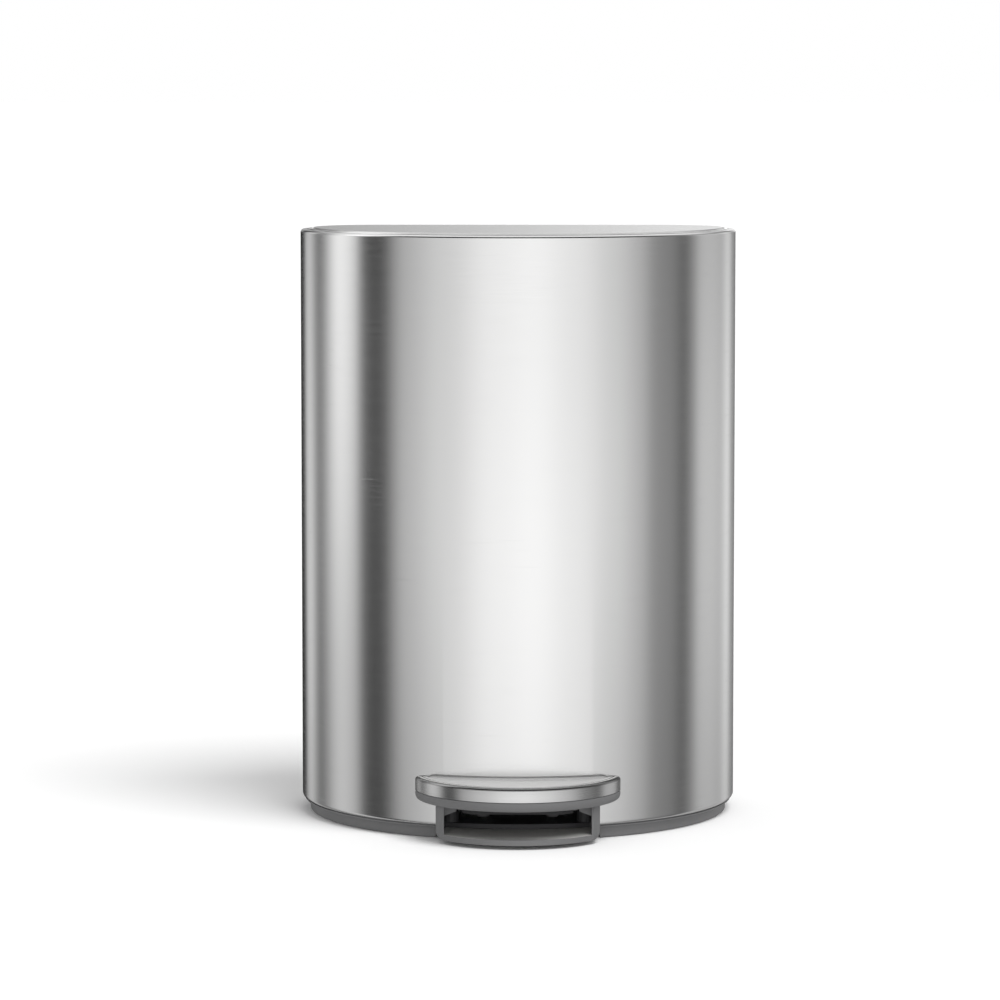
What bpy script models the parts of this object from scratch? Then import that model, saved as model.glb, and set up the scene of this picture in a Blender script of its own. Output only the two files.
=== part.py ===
import bpy
import bmesh
from math import atan2, cos, pi, radians, sin, sqrt

for old in list(bpy.data.objects):
    bpy.data.objects.remove(old, do_unlink=True)

MM = 0.001

# Driving sizes of the body; the plan is a half circle in front with a flat back
BODY_R = 102.5 * MM
BODY_BACK = 46.0 * MM
BACK_CORNER = 45.0 * MM
BODY_HIGH = 275.2 * MM
FIT = 0.3 * MM
OVERCUT = 1.0 * MM
SEAT = 0.15 * MM
SHELL_T = 0.6 * MM
SHELL_LOW = 6.7 * MM
CURL_HIGH = 1.5 * MM
CURL_IN = 1.0 * MM
ROUND_R = 2.0 * MM
ROUND_LOW = BODY_HIGH - ROUND_R
SHOULDER_IN = 3.3 * MM

# Trim bead and lid, counted from the shoulder
TRIM_OUT = SHOULDER_IN + FIT
TRIM_W = 2.0 * MM
TRIM_OUTER_EDGE = 0.4 * MM
TRIM_INNER_EDGE = 0.6 * MM
TRIM_IN = TRIM_OUT + TRIM_W
TRIM_RISE = 0.4 * MM
TRIM_TOP = BODY_HIGH + TRIM_RISE
TRIM_TALL = 2.2 * MM
TRIM_LOW = TRIM_TOP - TRIM_TALL
LID_RISE = 0.8 * MM
LID_TOP = BODY_HIGH + LID_RISE
LID_GAP = 0.5 * MM
LID_INSET = TRIM_IN + LID_GAP
LID_SKIN_T = 0.7 * MM
LID_FLANGE = 6.0 * MM
LID_EDGE = 0.8 * MM
LID_CORNER_SHARE = 0.95
SKIRT_CORNER_SHARE = 0.9
FLANGE_CLEAR = 2.0 * MM
LINER_CLEAR = 1.2 * MM
LINER_DEEP = 3.3 * MM
LINER_LOW = LID_TOP - LINER_DEEP
SKIRT_SET_IN = 8.9 * MM
LINER_SKIRT_IN = LID_INSET + SKIRT_SET_IN
LINER_SKIRT_T = 2.0 * MM
SKIRT_TALL = 4.3 * MM
LINER_SKIRT_LOW = LINER_LOW - SKIRT_TALL

# Base
RING_IN = 3.8 * MM
RING_LIP_IN = CURL_IN + FIT
RING_NECK_IN = CURL_IN + SHELL_T + FIT
RING_T = 3.2 * MM
RING_LOW = 0.25 * MM
RING_LIP_GAP = 0.6 * MM
RING_LIP_TOP = SHELL_LOW - RING_LIP_GAP
RING_LIP_TALL = 0.7 * MM
RING_LIP_LOW = RING_LIP_TOP - RING_LIP_TALL
DECK_Z = 35.0 * MM
DECK_T = 2.0 * MM
PLATE_LOW = 4.8 * MM
PLATE_T = 2.0 * MM
FOOT_R = 7.0 * MM
FOOT_BEVEL = 0.8 * MM
FOOT_SIDE_IN = 40.5 * MM
FOOT_X = BODY_R - FOOT_SIDE_IN
FOOT_FRONT_SHARE = 0.546
FOOT_FRONT = BODY_R * FOOT_FRONT_SHARE
FOOT_REAR_IN = 26.0 * MM
FOOT_REAR = BODY_BACK - FOOT_REAR_IN
BOSS_R = 4.0 * MM
BOSS_SIDE_IN = 28.5 * MM
BOSS_X = BODY_R - BOSS_SIDE_IN
BOSS_FRONT_SHARE = 0.371
BOSS_FRONT = BODY_R * BOSS_FRONT_SHARE
BOSS_REAR_IN = 38.0 * MM
BOSS_REAR = BODY_BACK - BOSS_REAR_IN

# Pedal, its fixed housing and the lever
PEDAL_OUT = 27.1 * MM
PEDAL_REACH = BODY_R + PEDAL_OUT
PEDAL_ARC_R = 48.0 * MM
PEDAL_GAP = 0.8 * MM
PEDAL_TOP = 28.8 * MM
CLAD_TALL = 6.6 * MM
PEDAL_JOINT = PEDAL_TOP - CLAD_TALL
PEDAL_TALL = 11.2 * MM
PEDAL_LOW = PEDAL_TOP - PEDAL_TALL
CLAD_T = 0.8 * MM
CLAD_ROUND = 1.6 * MM
SKIRT_T = 2.8 * MM
BAND_ROUND_IN = 2.3 * MM
BAND_ROUND_HIGH = 3.6 * MM
REAR_LIP_T = 0.9 * MM
REAR_LIP_TALL = 1.0 * MM
REAR_LIP_SHARE = 0.875
PEDAL_ROOF = 2.3 * MM
PEDAL_CEILING = PEDAL_TOP - PEDAL_ROOF
HOUSING_OUT = 22.7 * MM
HOUSING_REACH = BODY_R + HOUSING_OUT
HOUSING_ARC_R = PEDAL_ARC_R - SKIRT_T
HOUSING_SHARE = 0.777
HOUSING_HALF = PEDAL_ARC_R * HOUSING_SHARE
LEG_W = 3.8 * MM
HOUSING_ROUND = 3.6 * MM
GUSSET_W = 5.6 * MM
GUSSET_TALL = 5.8 * MM
GUSSET_EDGE = 3.6 * MM
HOUSING_LOW = 2.0 * MM
HOUSING_FLOOR_T = 2.5 * MM
LEG_LAP = 0.6 * MM
LEG_TOP = PEDAL_LOW + LEG_LAP
TONGUE_IN = 22.5 * MM
TONGUE_REACH = BODY_R - TONGUE_IN
LEVER_T = 2.0 * MM
LEVER_GAP = 0.1 * MM
LEVER_LOW = PEDAL_LOW - LEVER_T - LEVER_GAP
LEVER_FRONT_IN = 9.6 * MM
LEVER_FRONT = PEDAL_REACH - LEVER_FRONT_IN
LEVER_SIDE_GAP = 8.5 * MM
LEVER_HALF = HOUSING_HALF - LEG_W - LEVER_SIDE_GAP
LEVER_CORNER = 5.0 * MM
LEVER_WAIST_HALF = 12.5 * MM
AXLE_IN = 52.5 * MM
AXLE_REACH = BODY_R - AXLE_IN
TAPER_FRONT_OUT = 26.0 * MM
LEVER_TAPER_FRONT = AXLE_REACH + TAPER_FRONT_OUT
TAPER_REAR_OUT = 12.0 * MM
LEVER_TAPER_REAR = AXLE_REACH + TAPER_REAR_OUT
TAIL_START_IN = 14.0 * MM
LEVER_TAIL_START = AXLE_REACH - TAIL_START_IN
FORK_START = 14.0 * MM
AXLE_DROP = 2.5 * MM
AXLE_Z = LEVER_LOW - AXLE_DROP
AXLE_R = 2.5 * MM
EAR_T = 2.5 * MM
EAR_R = 4.2 * MM
BRACKET_GAP = 1.5 * MM
BRACKET_IN = LEVER_WAIST_HALF + BRACKET_GAP
BRACKET_T = 2.4 * MM
BRACKET_FOOT = 12.0 * MM
BRACKET_HALF = 6.0 * MM
AXLE_END = 1.2 * MM
AXLE_HALF = BRACKET_IN + BRACKET_T + AXLE_END
PRESS_ANGLE = radians(7.0)
OPEN_ANGLE = radians(75.0)

# Lid hinge and lifting rod
HINGE_GAP = 0.4 * MM
KNUCKLE_R = 3.2 * MM
KNUCKLE_START = 7.2 * MM
KNUCKLE_LONG = 7.4 * MM
LID_KNUCKLE_LONG = 9.8 * MM
OUTER_KNUCKLE_LONG = 8.0 * MM
HINGE_PIN_R = 1.3 * MM
PIN_PLAY = 0.09 * MM
PIN_SNUG = 0.05 * MM
SLIDE_PLAY = 0.25 * MM
ARM_LAP = 5.0 * MM
HINGE_BASE_T = 2.0 * MM
HINGE_BASE_FRONT = 2.0 * MM
HINGE_BASE_REAR = 5.4 * MM
KNUCKLE_EDGE = 0.5 * MM
PIN_R = 1.5 * MM
PIN_END = 1.2 * MM
ROD_T = 2.5 * MM
ROD_HALF = 3.0 * MM
ROD_FOOT_HALF = 4.4 * MM
LOW_PIN_RISE = 2.0 * MM
LOW_PIN_Z = AXLE_Z + LOW_PIN_RISE
CRANK_EAR_T = 2.5 * MM
CRANK_TIP = 3.4 * MM
GUIDE_HALF = 14.0 * MM
GUIDE_T = 2.0 * MM
GUIDE_STEM = 4.0 * MM
GUIDE_TALL = 14.0 * MM

# Top collar, bucket and bail
COLLAR_T = 2.1 * MM
LEDGE_DROP = 11.2 * MM
LEDGE_Z = BODY_HIGH - LEDGE_DROP
LEDGE_T = 2.0 * MM
COLLAR_SKIRT = 14.0 * MM
COLLAR_LOW = LEDGE_Z - COLLAR_SKIRT
POST_R = 3.4 * MM
POST_TALL = 10.0 * MM
WINDOW_HALF = 6.2 * MM
BUCKET_RIM_IN = 5.2 * MM
BUCKET_RIM_T = 1.8 * MM
BUCKET_RIM_W = 8.8 * MM
BUCKET_WALL_IN = BUCKET_RIM_IN + BUCKET_RIM_W
BUCKET_T = 1.6 * MM
BUCKET_BEHIND = 32.0 * MM
BUCKET_BACK = BODY_BACK - BUCKET_BEHIND
BUCKET_CORNER = 12.0 * MM
BUCKET_CLEAR = 3.0 * MM
BUCKET_LOW = DECK_Z + BUCKET_CLEAR
BUCKET_FOOT = 3.0 * MM
BUCKET_TAPER = 3.0 * MM
LEDGE_LAP = 4.0 * MM
BAIL_R = 1.2 * MM
BAIL_PLAY = 0.1 * MM
BAIL_END = 1.2 * MM
BAIL_SET_IN = 2.0 * MM
BAIL_IN = BUCKET_RIM_IN + BAIL_SET_IN
LUG_T = 2.0 * MM
LUG_HALF = 3.0 * MM
LUG_HIGH = 4.2 * MM
BUMPER_R = 2.2 * MM
BUMPER_SET_IN = 4.0 * MM
BUMPER_IN = BAIL_IN + BUMPER_SET_IN
BUMPER_TURN = radians(38.0)

# Screws
SCREW_R = 1.5 * MM
SCREW_HEAD_R = 2.9 * MM
SCREW_HEAD_H = 1.6 * MM
SCREW_SLOT_W = 0.8 * MM
SCREW_SLOT_D = 0.7 * MM
PASS_GAP = 0.2 * MM
BASE_SCREW_LONG = 14.0 * MM
HOUSING_SCREW_LONG = 9.0 * MM
HOUSING_BOSS_TALL = 5.0 * MM
PEDAL_SCREW_LONG = 9.5 * MM
BRACKET_SCREW_LONG = 6.2 * MM
HINGE_SCREW_LONG = 10.0 * MM
HINGE_SCREW_SHARE = 0.65
PEDAL_SCREW_IN = 6.0 * MM
PEDAL_SCREW_SHARE = 0.62
BOSS_LAP = 0.6 * MM

FRONT_STEPS = 44
CORNER_STEPS = 6
ROUND_STEPS = 16

# Worked-out places
SHIFT = (PEDAL_REACH - BODY_BACK) / 2
FLOOR_TOP = HOUSING_LOW + HOUSING_FLOOR_T
PLATE_TOP = PLATE_LOW + PLATE_T
RIM_BACK = BODY_BACK - TRIM_IN
HINGE_Y = RIM_BACK - HINGE_GAP - KNUCKLE_R
HINGE_Z = LID_TOP - KNUCKLE_R - FIT / 2
LID_BACK = HINGE_Y - KNUCKLE_R - KNUCKLE_EDGE
HALF_OPEN = OPEN_ANGLE / 2
HINGE_HALF = KNUCKLE_START + KNUCKLE_LONG + LID_KNUCKLE_LONG + OUTER_KNUCKLE_LONG + 2 * FIT + HINGE_GAP
REAR_SHARE = sin(PRESS_ANGLE) / (2 * sin(HALF_OPEN)) * cos(HALF_OPEN)
ROD_Y = (HINGE_Y - REAR_SHARE * AXLE_REACH) / (1 + REAR_SHARE)
LIFT = (ROD_Y + AXLE_REACH) * sin(PRESS_ANGLE)
CRANK_R = LIFT / (2 * sin(HALF_OPEN))
CRANK_Z = HINGE_Z - CRANK_R * sin(HALF_OPEN)
PEDAL_ARC_Y = PEDAL_REACH - PEDAL_ARC_R
HOUSING_ARC_Y = HOUSING_REACH - HOUSING_ARC_R

AXIS = (0, 0, 0)
LID_PIVOT = (0, HINGE_Y, HINGE_Z)
PEDAL_PIVOT = (0, -AXLE_REACH, AXLE_Z)
ROD_PIVOT = (0, ROD_Y, CRANK_Z)


def material(name, colour, roughness, metallic):
    mat = bpy.data.materials.new(name)
    mat.use_nodes = True
    node = mat.node_tree.nodes["Principled BSDF"]
    node.inputs["Base Color"].default_value = (*colour, 1)
    node.inputs["Roughness"].default_value = roughness
    node.inputs["Metallic"].default_value = metallic
    mat.diffuse_color = (*colour, 1)
    return mat


STEEL = material("brushed_steel", (0.62, 0.61, 0.6), 0.34, 1)
BRIGHT = material("bright_steel", (0.7, 0.7, 0.7), 0.2, 1)
GALVANISED = material("zinc_plated_steel", (0.45, 0.46, 0.47), 0.42, 1)
GREY = material("grey_plastic", (0.14, 0.14, 0.142), 0.5, 0)
DARK = material("dark_plastic", (0.035, 0.035, 0.038), 0.55, 0)
BLACK = material("black_coated_steel", (0.02, 0.02, 0.021), 0.45, 0)
RUBBER = material("grey_rubber", (0.05, 0.05, 0.05), 0.85, 0)


def solid(name, bm, mat, pivot=AXIS):
    bmesh.ops.recalc_face_normals(bm, faces=bm.faces)
    bmesh.ops.translate(bm, verts=bm.verts, vec=[-c for c in pivot])
    mesh = bpy.data.meshes.new(name)
    bm.to_mesh(mesh)
    bm.free()
    mesh.materials.append(mat)
    obj = bpy.data.objects.new(name, mesh)
    bpy.context.scene.collection.objects.link(obj)
    obj.location = (pivot[0], pivot[1] + SHIFT, pivot[2])
    finish(obj)
    return obj


def finish(obj):
    for face in obj.data.polygons:
        face.use_smooth = True
    obj.data.set_sharp_from_angle(angle=radians(32))


def sweep(name, loops, mat, pivot=AXIS, ring=False):
    bm = bmesh.new()
    rows = [[bm.verts.new(point) for point in loop] for loop in loops]
    count = len(rows[0])
    pairs = list(zip(rows, rows[1:]))
    if ring:
        pairs.append((rows[-1], rows[0]))
    for low, high in pairs:
        for i in range(count):
            j = (i + 1) % count
            bm.faces.new((low[i], low[j], high[j], high[i]))
    if not ring:
        bm.faces.new(rows[0][::-1])
        bm.faces.new(rows[-1])
    return solid(name, bm, mat, pivot)


def prism(name, outline, axis, low, high, mat=GREY, pivot=AXIS):
    def at(u, v, w):
        return {"X": (w, u, v), "Y": (u, w, v), "Z": (u, v, w)}[axis]
    loops = [[at(u, v, w) for u, v in outline] for w in (low, high)]
    return sweep(name, loops, mat, pivot)


def block(name, low, high, mat=GREY, pivot=AXIS):
    corners = [(low[0], low[1]), (high[0], low[1]), (high[0], high[1]), (low[0], high[1])]
    return prism(name, corners, "Z", low[2], high[2], mat, pivot)


def circle(u, v, radius, steps=ROUND_STEPS):
    return [(u + radius * cos(2 * pi * i / steps), v + radius * sin(2 * pi * i / steps))
            for i in range(steps)]


def apply_with(obj, tool, operation):
    mod = obj.modifiers.new("step", "BOOLEAN")
    mod.operation = operation
    mod.solver = "EXACT"
    mod.object = tool
    graph = bpy.context.evaluated_depsgraph_get()
    mesh = bpy.data.meshes.new_from_object(obj.evaluated_get(graph), depsgraph=graph)
    obj.modifiers.remove(mod)
    stale = obj.data
    obj.data = mesh
    bpy.data.meshes.remove(stale)
    bpy.data.objects.remove(tool, do_unlink=True)
    finish(obj)


def cut(obj, tool):
    apply_with(obj, tool, "DIFFERENCE")


def add(obj, tool):
    apply_with(obj, tool, "UNION")


# Plan outline at an inset from the body's outside, front first, anticlockwise from above
def plan(inset, z, reach=BODY_R, back=BODY_BACK, corner=BACK_CORNER):
    r = reach - inset
    c = corner - inset
    b = back - inset
    points = []
    for i in range(FRONT_STEPS + 1):
        turn = pi + pi * i / FRONT_STEPS
        points.append((r * cos(turn), r * sin(turn), z))
    for side in (0, 1):
        for i in range(CORNER_STEPS + 1):
            turn = pi / 2 * (side + i / CORNER_STEPS)
            middle = (r - c) * (1 - 2 * side)
            points.append((middle + c * cos(turn), b - c + c * sin(turn), z))
    return points


def bucket_plan(inset, z):
    return plan(inset, z, BODY_R, BUCKET_BACK + BUCKET_WALL_IN, BUCKET_CORNER + BUCKET_WALL_IN)


# Plan of the pedal: a front arc that ends on the body's curve
def pedal_plan(arc_r, z, back_r, arc_y=PEDAL_ARC_Y, steps=28, back_steps=14):
    meet = (back_r ** 2 - arc_r ** 2 + arc_y ** 2) / (2 * arc_y)
    half = sqrt(back_r ** 2 - meet ** 2)
    wide = atan2(half, meet - arc_y)
    points = []
    for i in range(steps + 1):
        turn = -wide + 2 * wide * i / steps
        points.append((arc_r * sin(turn), -arc_y - arc_r * cos(turn), z))
    close = atan2(half, meet)
    for i in range(1, back_steps):
        turn = close - 2 * close * i / back_steps
        points.append((back_r * sin(turn), -back_r * cos(turn), z))
    return points


# Screw with a slotted head; its head end sits at the place given, the shank along the direction
def screw(name, place, way, length, pivot=AXIS, mat=GALVANISED):
    x, y, z = place
    shank = length - SCREW_HEAD_H
    profile = [(SCREW_HEAD_R - SCREW_HEAD_H / 4, 0), (SCREW_HEAD_R, SCREW_HEAD_H / 4),
               (SCREW_HEAD_R, SCREW_HEAD_H), (SCREW_R, SCREW_HEAD_H),
               (SCREW_R, SCREW_HEAD_H + shank - SCREW_R), (SCREW_R / 3, length)]
    loops = [[(x + u, y + v, z + way * h) for u, v in circle(0, 0, r, 12)] for r, h in profile]
    obj = sweep(name, loops, mat, pivot)
    low = z - way * SCREW_SLOT_D
    high = z + way * SCREW_SLOT_D
    slot = block("slot", (x - SCREW_HEAD_R * 2, y - SCREW_SLOT_W / 2, min(low, high)),
                 (x + SCREW_HEAD_R * 2, y + SCREW_SLOT_W / 2, max(low, high)))
    cut(obj, slot)
    return obj


def drill(obj, x, y, low, high, radius):
    cut(obj, prism("drill", circle(x, y, radius), "Z", low, high))


def cross_drill(obj, low, high, y, z, radius):
    cut(obj, prism("drill", circle(y, z, radius), "X", low, high))


# Outer shell: wall curled in at the foot and rounded over at the top
outside = []
for i in range(5):
    turn = pi / 2 * i / 4
    outside.append((CURL_IN * (1 - sin(turn)), SHELL_LOW + CURL_HIGH * (1 - cos(turn))))
for i in range(5):
    turn = pi / 2 * i / 4
    outside.append((ROUND_R * (1 - cos(turn)), ROUND_LOW + ROUND_R * sin(turn)))
outside.append((SHOULDER_IN, BODY_HIGH))
inside = []
for i in range(5):
    turn = pi / 2 * i / 4
    inside.append((SHELL_T + CURL_IN * (1 - sin(turn)), SHELL_LOW + CURL_HIGH * (1 - cos(turn))))
inner_round = ROUND_R - SHELL_T
for i in range(5):
    turn = pi / 2 * i / 4
    inside.append((SHELL_T + inner_round * (1 - cos(turn)), ROUND_LOW + inner_round * sin(turn)))
inside.append((SHOULDER_IN, BODY_HIGH - SHELL_T))
outer_shell = sweep("outer_shell", [plan(o, z) for o, z in outside + inside[::-1]], STEEL, ring=True)
mouth_half = HOUSING_HALF - LEG_W + FIT
mouth_top = LEG_TOP + LEVER_T
cut(outer_shell, block("mouth", (-mouth_half, -BODY_R * 1.1, 0), (mouth_half, -BODY_R / 2, mouth_top)))

# Trim bead between the shoulder and the lid
trim = [(TRIM_OUT, TRIM_LOW), (TRIM_OUT, TRIM_TOP - TRIM_OUTER_EDGE), (TRIM_OUT + TRIM_OUTER_EDGE, TRIM_TOP),
        (TRIM_IN - TRIM_INNER_EDGE, TRIM_TOP), (TRIM_IN, TRIM_TOP - TRIM_INNER_EDGE), (TRIM_IN, TRIM_LOW)]
sweep("rim_trim", [plan(o, z) for o, z in trim], BRIGHT, ring=True)

# Top collar: wall inside the shell, flange under the trim and a ledge that carries the bucket
collar_out = SHELL_T + FIT
collar_in = collar_out + COLLAR_T
flange_top = TRIM_LOW - SEAT
collar_top = flange_top
ledge_edge = BUCKET_RIM_IN + LEDGE_LAP
collar = [plan(collar_out, COLLAR_LOW), plan(collar_out, collar_top)]
collar.append(plan(TRIM_IN, flange_top))
collar.append(plan(TRIM_IN, flange_top - COLLAR_T))
collar.append(plan(collar_in, flange_top - COLLAR_T))
collar.append(plan(collar_in, LEDGE_Z))
collar.append(bucket_plan(ledge_edge, LEDGE_Z))
collar.append(bucket_plan(ledge_edge, LEDGE_Z - LEDGE_T))
collar.append(plan(collar_in, LEDGE_Z - LEDGE_T))
collar.append(plan(collar_in, COLLAR_LOW))
top_collar = sweep("top_collar", collar, DARK, ring=True)
window_half = WINDOW_HALF
window_front = ROD_Y - 1.8 * ROD_HALF
window_rear = HINGE_Y - HINGE_GAP - PASS_GAP
cut(top_collar, block("window", (-window_half, window_front, LEDGE_Z - 2 * LEDGE_T),
                      (window_half, window_rear, LEDGE_Z + LEDGE_T)))
hinge_screw_x = KNUCKLE_START + KNUCKLE_LONG + FIT + LID_KNUCKLE_LONG / 2
hinge_screw_y = HINGE_Y + (HINGE_BASE_REAR - HINGE_BASE_FRONT) * HINGE_SCREW_SHARE
post_low = LEDGE_Z - POST_TALL
for x in (-hinge_screw_x, hinge_screw_x):
    add(top_collar, prism("post", circle(x, hinge_screw_y, POST_R), "Z", post_low, LEDGE_Z - LEDGE_T / 2))
    drill(top_collar, x, hinge_screw_y, post_low - OVERCUT, LEDGE_Z + OVERCUT, SCREW_R + PASS_GAP)

# Grey base ring: visible skirt with a lip, a neck inside the shell and a deck over the lever
ring_inner = RING_IN + RING_T
ring = [plan(ring_inner, DECK_Z - DECK_T), plan(ring_inner, RING_LOW), plan(RING_IN, RING_LOW),
        plan(RING_IN, RING_LIP_LOW), plan(RING_LIP_IN, RING_LIP_LOW + SEAT),
        plan(RING_LIP_IN, RING_LIP_TOP), plan(RING_NECK_IN, RING_LIP_TOP),
        plan(RING_NECK_IN, DECK_Z)]
base_ring = sweep("base_ring", ring, GREY)
notch_half = HOUSING_HALF + FIT
cut(base_ring, block("notch", (-notch_half, -BODY_R * 1.1, 0),
                     (notch_half, -BODY_R * 0.7, mouth_top + LEVER_T)))
cut(base_ring, block("slot", (-ROD_T, ROD_Y - 2 * ROD_HALF, DECK_Z - 2 * DECK_T),
                     (ROD_T, ROD_Y + 2 * ROD_HALF, DECK_Z + DECK_T)))
boss_low = PLATE_TOP + SEAT
boss_places = [(-BOSS_X, -BOSS_FRONT), (BOSS_X, -BOSS_FRONT), (-BOSS_X, BOSS_REAR), (BOSS_X, BOSS_REAR)]
for x, y in boss_places:
    add(base_ring, prism("boss", circle(x, y, BOSS_R), "Z", boss_low, DECK_Z - DECK_T / 2))
    drill(base_ring, x, y, boss_low - OVERCUT, PLATE_LOW + BASE_SCREW_LONG, SCREW_R + PASS_GAP)

# Plate that closes the underside, with two bosses for the housing's screws
plate_loops = [plan(ring_inner + FIT, PLATE_LOW), plan(ring_inner + FIT, PLATE_TOP)]
bottom_plate = sweep("bottom_plate", plate_loops, DARK)
housing_screw_x = (LEVER_HALF + HOUSING_HALF) / 2 - SEAT
housing_screw_y = -TONGUE_REACH - HOUSING_BOSS_TALL
boss_top = PLATE_TOP + HOUSING_BOSS_TALL
for x in (-housing_screw_x, housing_screw_x):
    add(bottom_plate, prism("boss", circle(x, housing_screw_y, BOSS_R), "Z", PLATE_TOP - OVERCUT, boss_top))
    drill(bottom_plate, x, housing_screw_y, PLATE_LOW - OVERCUT, boss_top + OVERCUT, SCREW_R + PASS_GAP)
bracket_screw_x = BRACKET_IN + BRACKET_T + BRACKET_FOOT / 2
for x in (-bracket_screw_x, bracket_screw_x):
    drill(bottom_plate, x, -AXLE_REACH, PLATE_LOW - OVERCUT, PLATE_TOP + OVERCUT, SCREW_R + PASS_GAP)
for x, y in boss_places:
    drill(bottom_plate, x, y, PLATE_LOW - OVERCUT, PLATE_TOP + OVERCUT, SCREW_R + PASS_GAP)
sides = (("left", -1), ("right", 1))
for n, (x, y) in enumerate(boss_places):
    screw(f"base_screw_{n + 1}", (x, y, PLATE_LOW - SEAT - SCREW_HEAD_H), 1, BASE_SCREW_LONG)

# Rubber feet under the plate
for place, y in (("front", -FOOT_FRONT), ("rear", FOOT_REAR)):
    for side, way in sides:
        rings = [(FOOT_R - FOOT_BEVEL, 0), (FOOT_R, FOOT_BEVEL), (FOOT_R, PLATE_LOW - SEAT)]
        loops = [[(u, v, h) for u, v in circle(way * FOOT_X, y, r)] for r, h in rings]
        sweep(f"foot_{place}_{side}", loops, RUBBER)

# Fixed pedal housing: floor with a rounded front, two legs and a tongue under the plate
front_arc = [(x, y) for x, y, z in pedal_plan(HOUSING_ARC_R, 0, BODY_R, HOUSING_ARC_Y)[:29]]
floor_line = [(x, y) for x, y in front_arc if abs(x) < HOUSING_HALF]
edge_y = -HOUSING_ARC_Y - sqrt(HOUSING_ARC_R ** 2 - HOUSING_HALF ** 2)
floor_line = [(-HOUSING_HALF, edge_y)] + floor_line + [(HOUSING_HALF, edge_y)]
tongue = [(HOUSING_HALF, -TONGUE_REACH), (-HOUSING_HALF, -TONGUE_REACH)]
pedal_housing = prism("pedal_housing", floor_line + tongue, "Z", HOUSING_LOW, FLOOR_TOP, GREY)
leg_in = HOUSING_HALF - LEG_W
leg_back = [sqrt((BODY_R + FIT) ** 2 - x ** 2) for x in (leg_in, HOUSING_HALF)]
leg_front = [HOUSING_ARC_Y + sqrt(HOUSING_ARC_R ** 2 - x ** 2) for x in (leg_in, HOUSING_HALF)]
for side, way in sides:
    line = [(way * leg_in, -leg_front[0]), (way * HOUSING_HALF, -leg_front[1]),
            (way * HOUSING_HALF, -leg_back[1]), (way * leg_in, -leg_back[0])]
    add(pedal_housing, prism("leg", line, "Z", HOUSING_LOW, LEG_TOP))
    gusset_in = leg_in - GUSSET_W
    gusset = [(way * (leg_in + LEG_W / 2), LEG_TOP - GUSSET_TALL), (way * (leg_in + LEG_W / 2), LEG_TOP),
              (way * gusset_in, LEG_TOP), (way * gusset_in, LEG_TOP - GUSSET_EDGE),
              (way * leg_in, LEG_TOP - GUSSET_TALL)]
    add(pedal_housing, prism("gusset", gusset, "Y", -leg_front[1], -leg_back[0]))
    lost = [(way * (HOUSING_HALF + OVERCUT), HOUSING_LOW + HOUSING_ROUND),
            (way * (HOUSING_HALF + OVERCUT), HOUSING_LOW - OVERCUT),
            (way * (HOUSING_HALF - HOUSING_ROUND), HOUSING_LOW - OVERCUT)]
    for i in range(7):
        turn = pi / 2 * i / 6
        lost.append((way * (HOUSING_HALF - HOUSING_ROUND * (1 - sin(turn))),
                     HOUSING_LOW + HOUSING_ROUND * (1 - cos(turn))))
    cut(pedal_housing, prism("corner", lost, "Y", -HOUSING_REACH - OVERCUT, -TONGUE_REACH + OVERCUT))
pocket_top = HOUSING_LOW + SCREW_HEAD_H - SEAT
for x in (-housing_screw_x, housing_screw_x):
    drill(pedal_housing, x, housing_screw_y, 0, FLOOR_TOP + OVERCUT, SCREW_R + PASS_GAP)
    drill(pedal_housing, x, housing_screw_y, 0, pocket_top, SCREW_HEAD_R + PASS_GAP)
for side, way in sides:
    place = (way * housing_screw_x, housing_screw_y, pocket_top - SCREW_HEAD_H - SEAT)
    screw(f"housing_screw_{side}", place, 1, HOUSING_SCREW_LONG)

# Steel cap of the pedal: top and front skirt, open toward the body
cap_back = BODY_R + PEDAL_GAP
cap = [(0, PEDAL_JOINT)]
for i in range(5):
    turn = pi / 2 * i / 4
    cap.append((CLAD_ROUND * (1 - cos(turn)), PEDAL_TOP - CLAD_ROUND * (1 - sin(turn))))
cap_loops = [pedal_plan(PEDAL_ARC_R - o, z, cap_back) for o, z in cap]
pedal_cladding = sweep("pedal_cladding", cap_loops, STEEL, PEDAL_PIVOT)
clear_back = BODY_R - 5 * CLAD_T
hollow = []
for o, z in [(CLAD_T, PEDAL_JOINT - OVERCUT)] + [(CLAD_T + o, z - CLAD_T) for o, z in cap[1:]]:
    hollow.append(pedal_plan(PEDAL_ARC_R - o, z, clear_back))
cut(pedal_cladding, sweep("hollow", hollow, GREY))
lip_wide = REAR_LIP_SHARE * PEDAL_ARC_R / cap_back
lip_turns = [lip_wide * (i / 12 - 1) for i in range(25)]
lip = [(cap_back * sin(t), -cap_back * cos(t)) for t in lip_turns]
lip_front = cap_back + REAR_LIP_T
lip += [(lip_front * sin(t), -lip_front * cos(t)) for t in lip_turns[::-1]]
add(pedal_cladding, prism("lip", lip, "Z", PEDAL_TOP - CLAD_T / 2, PEDAL_TOP + REAR_LIP_TALL))

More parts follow.
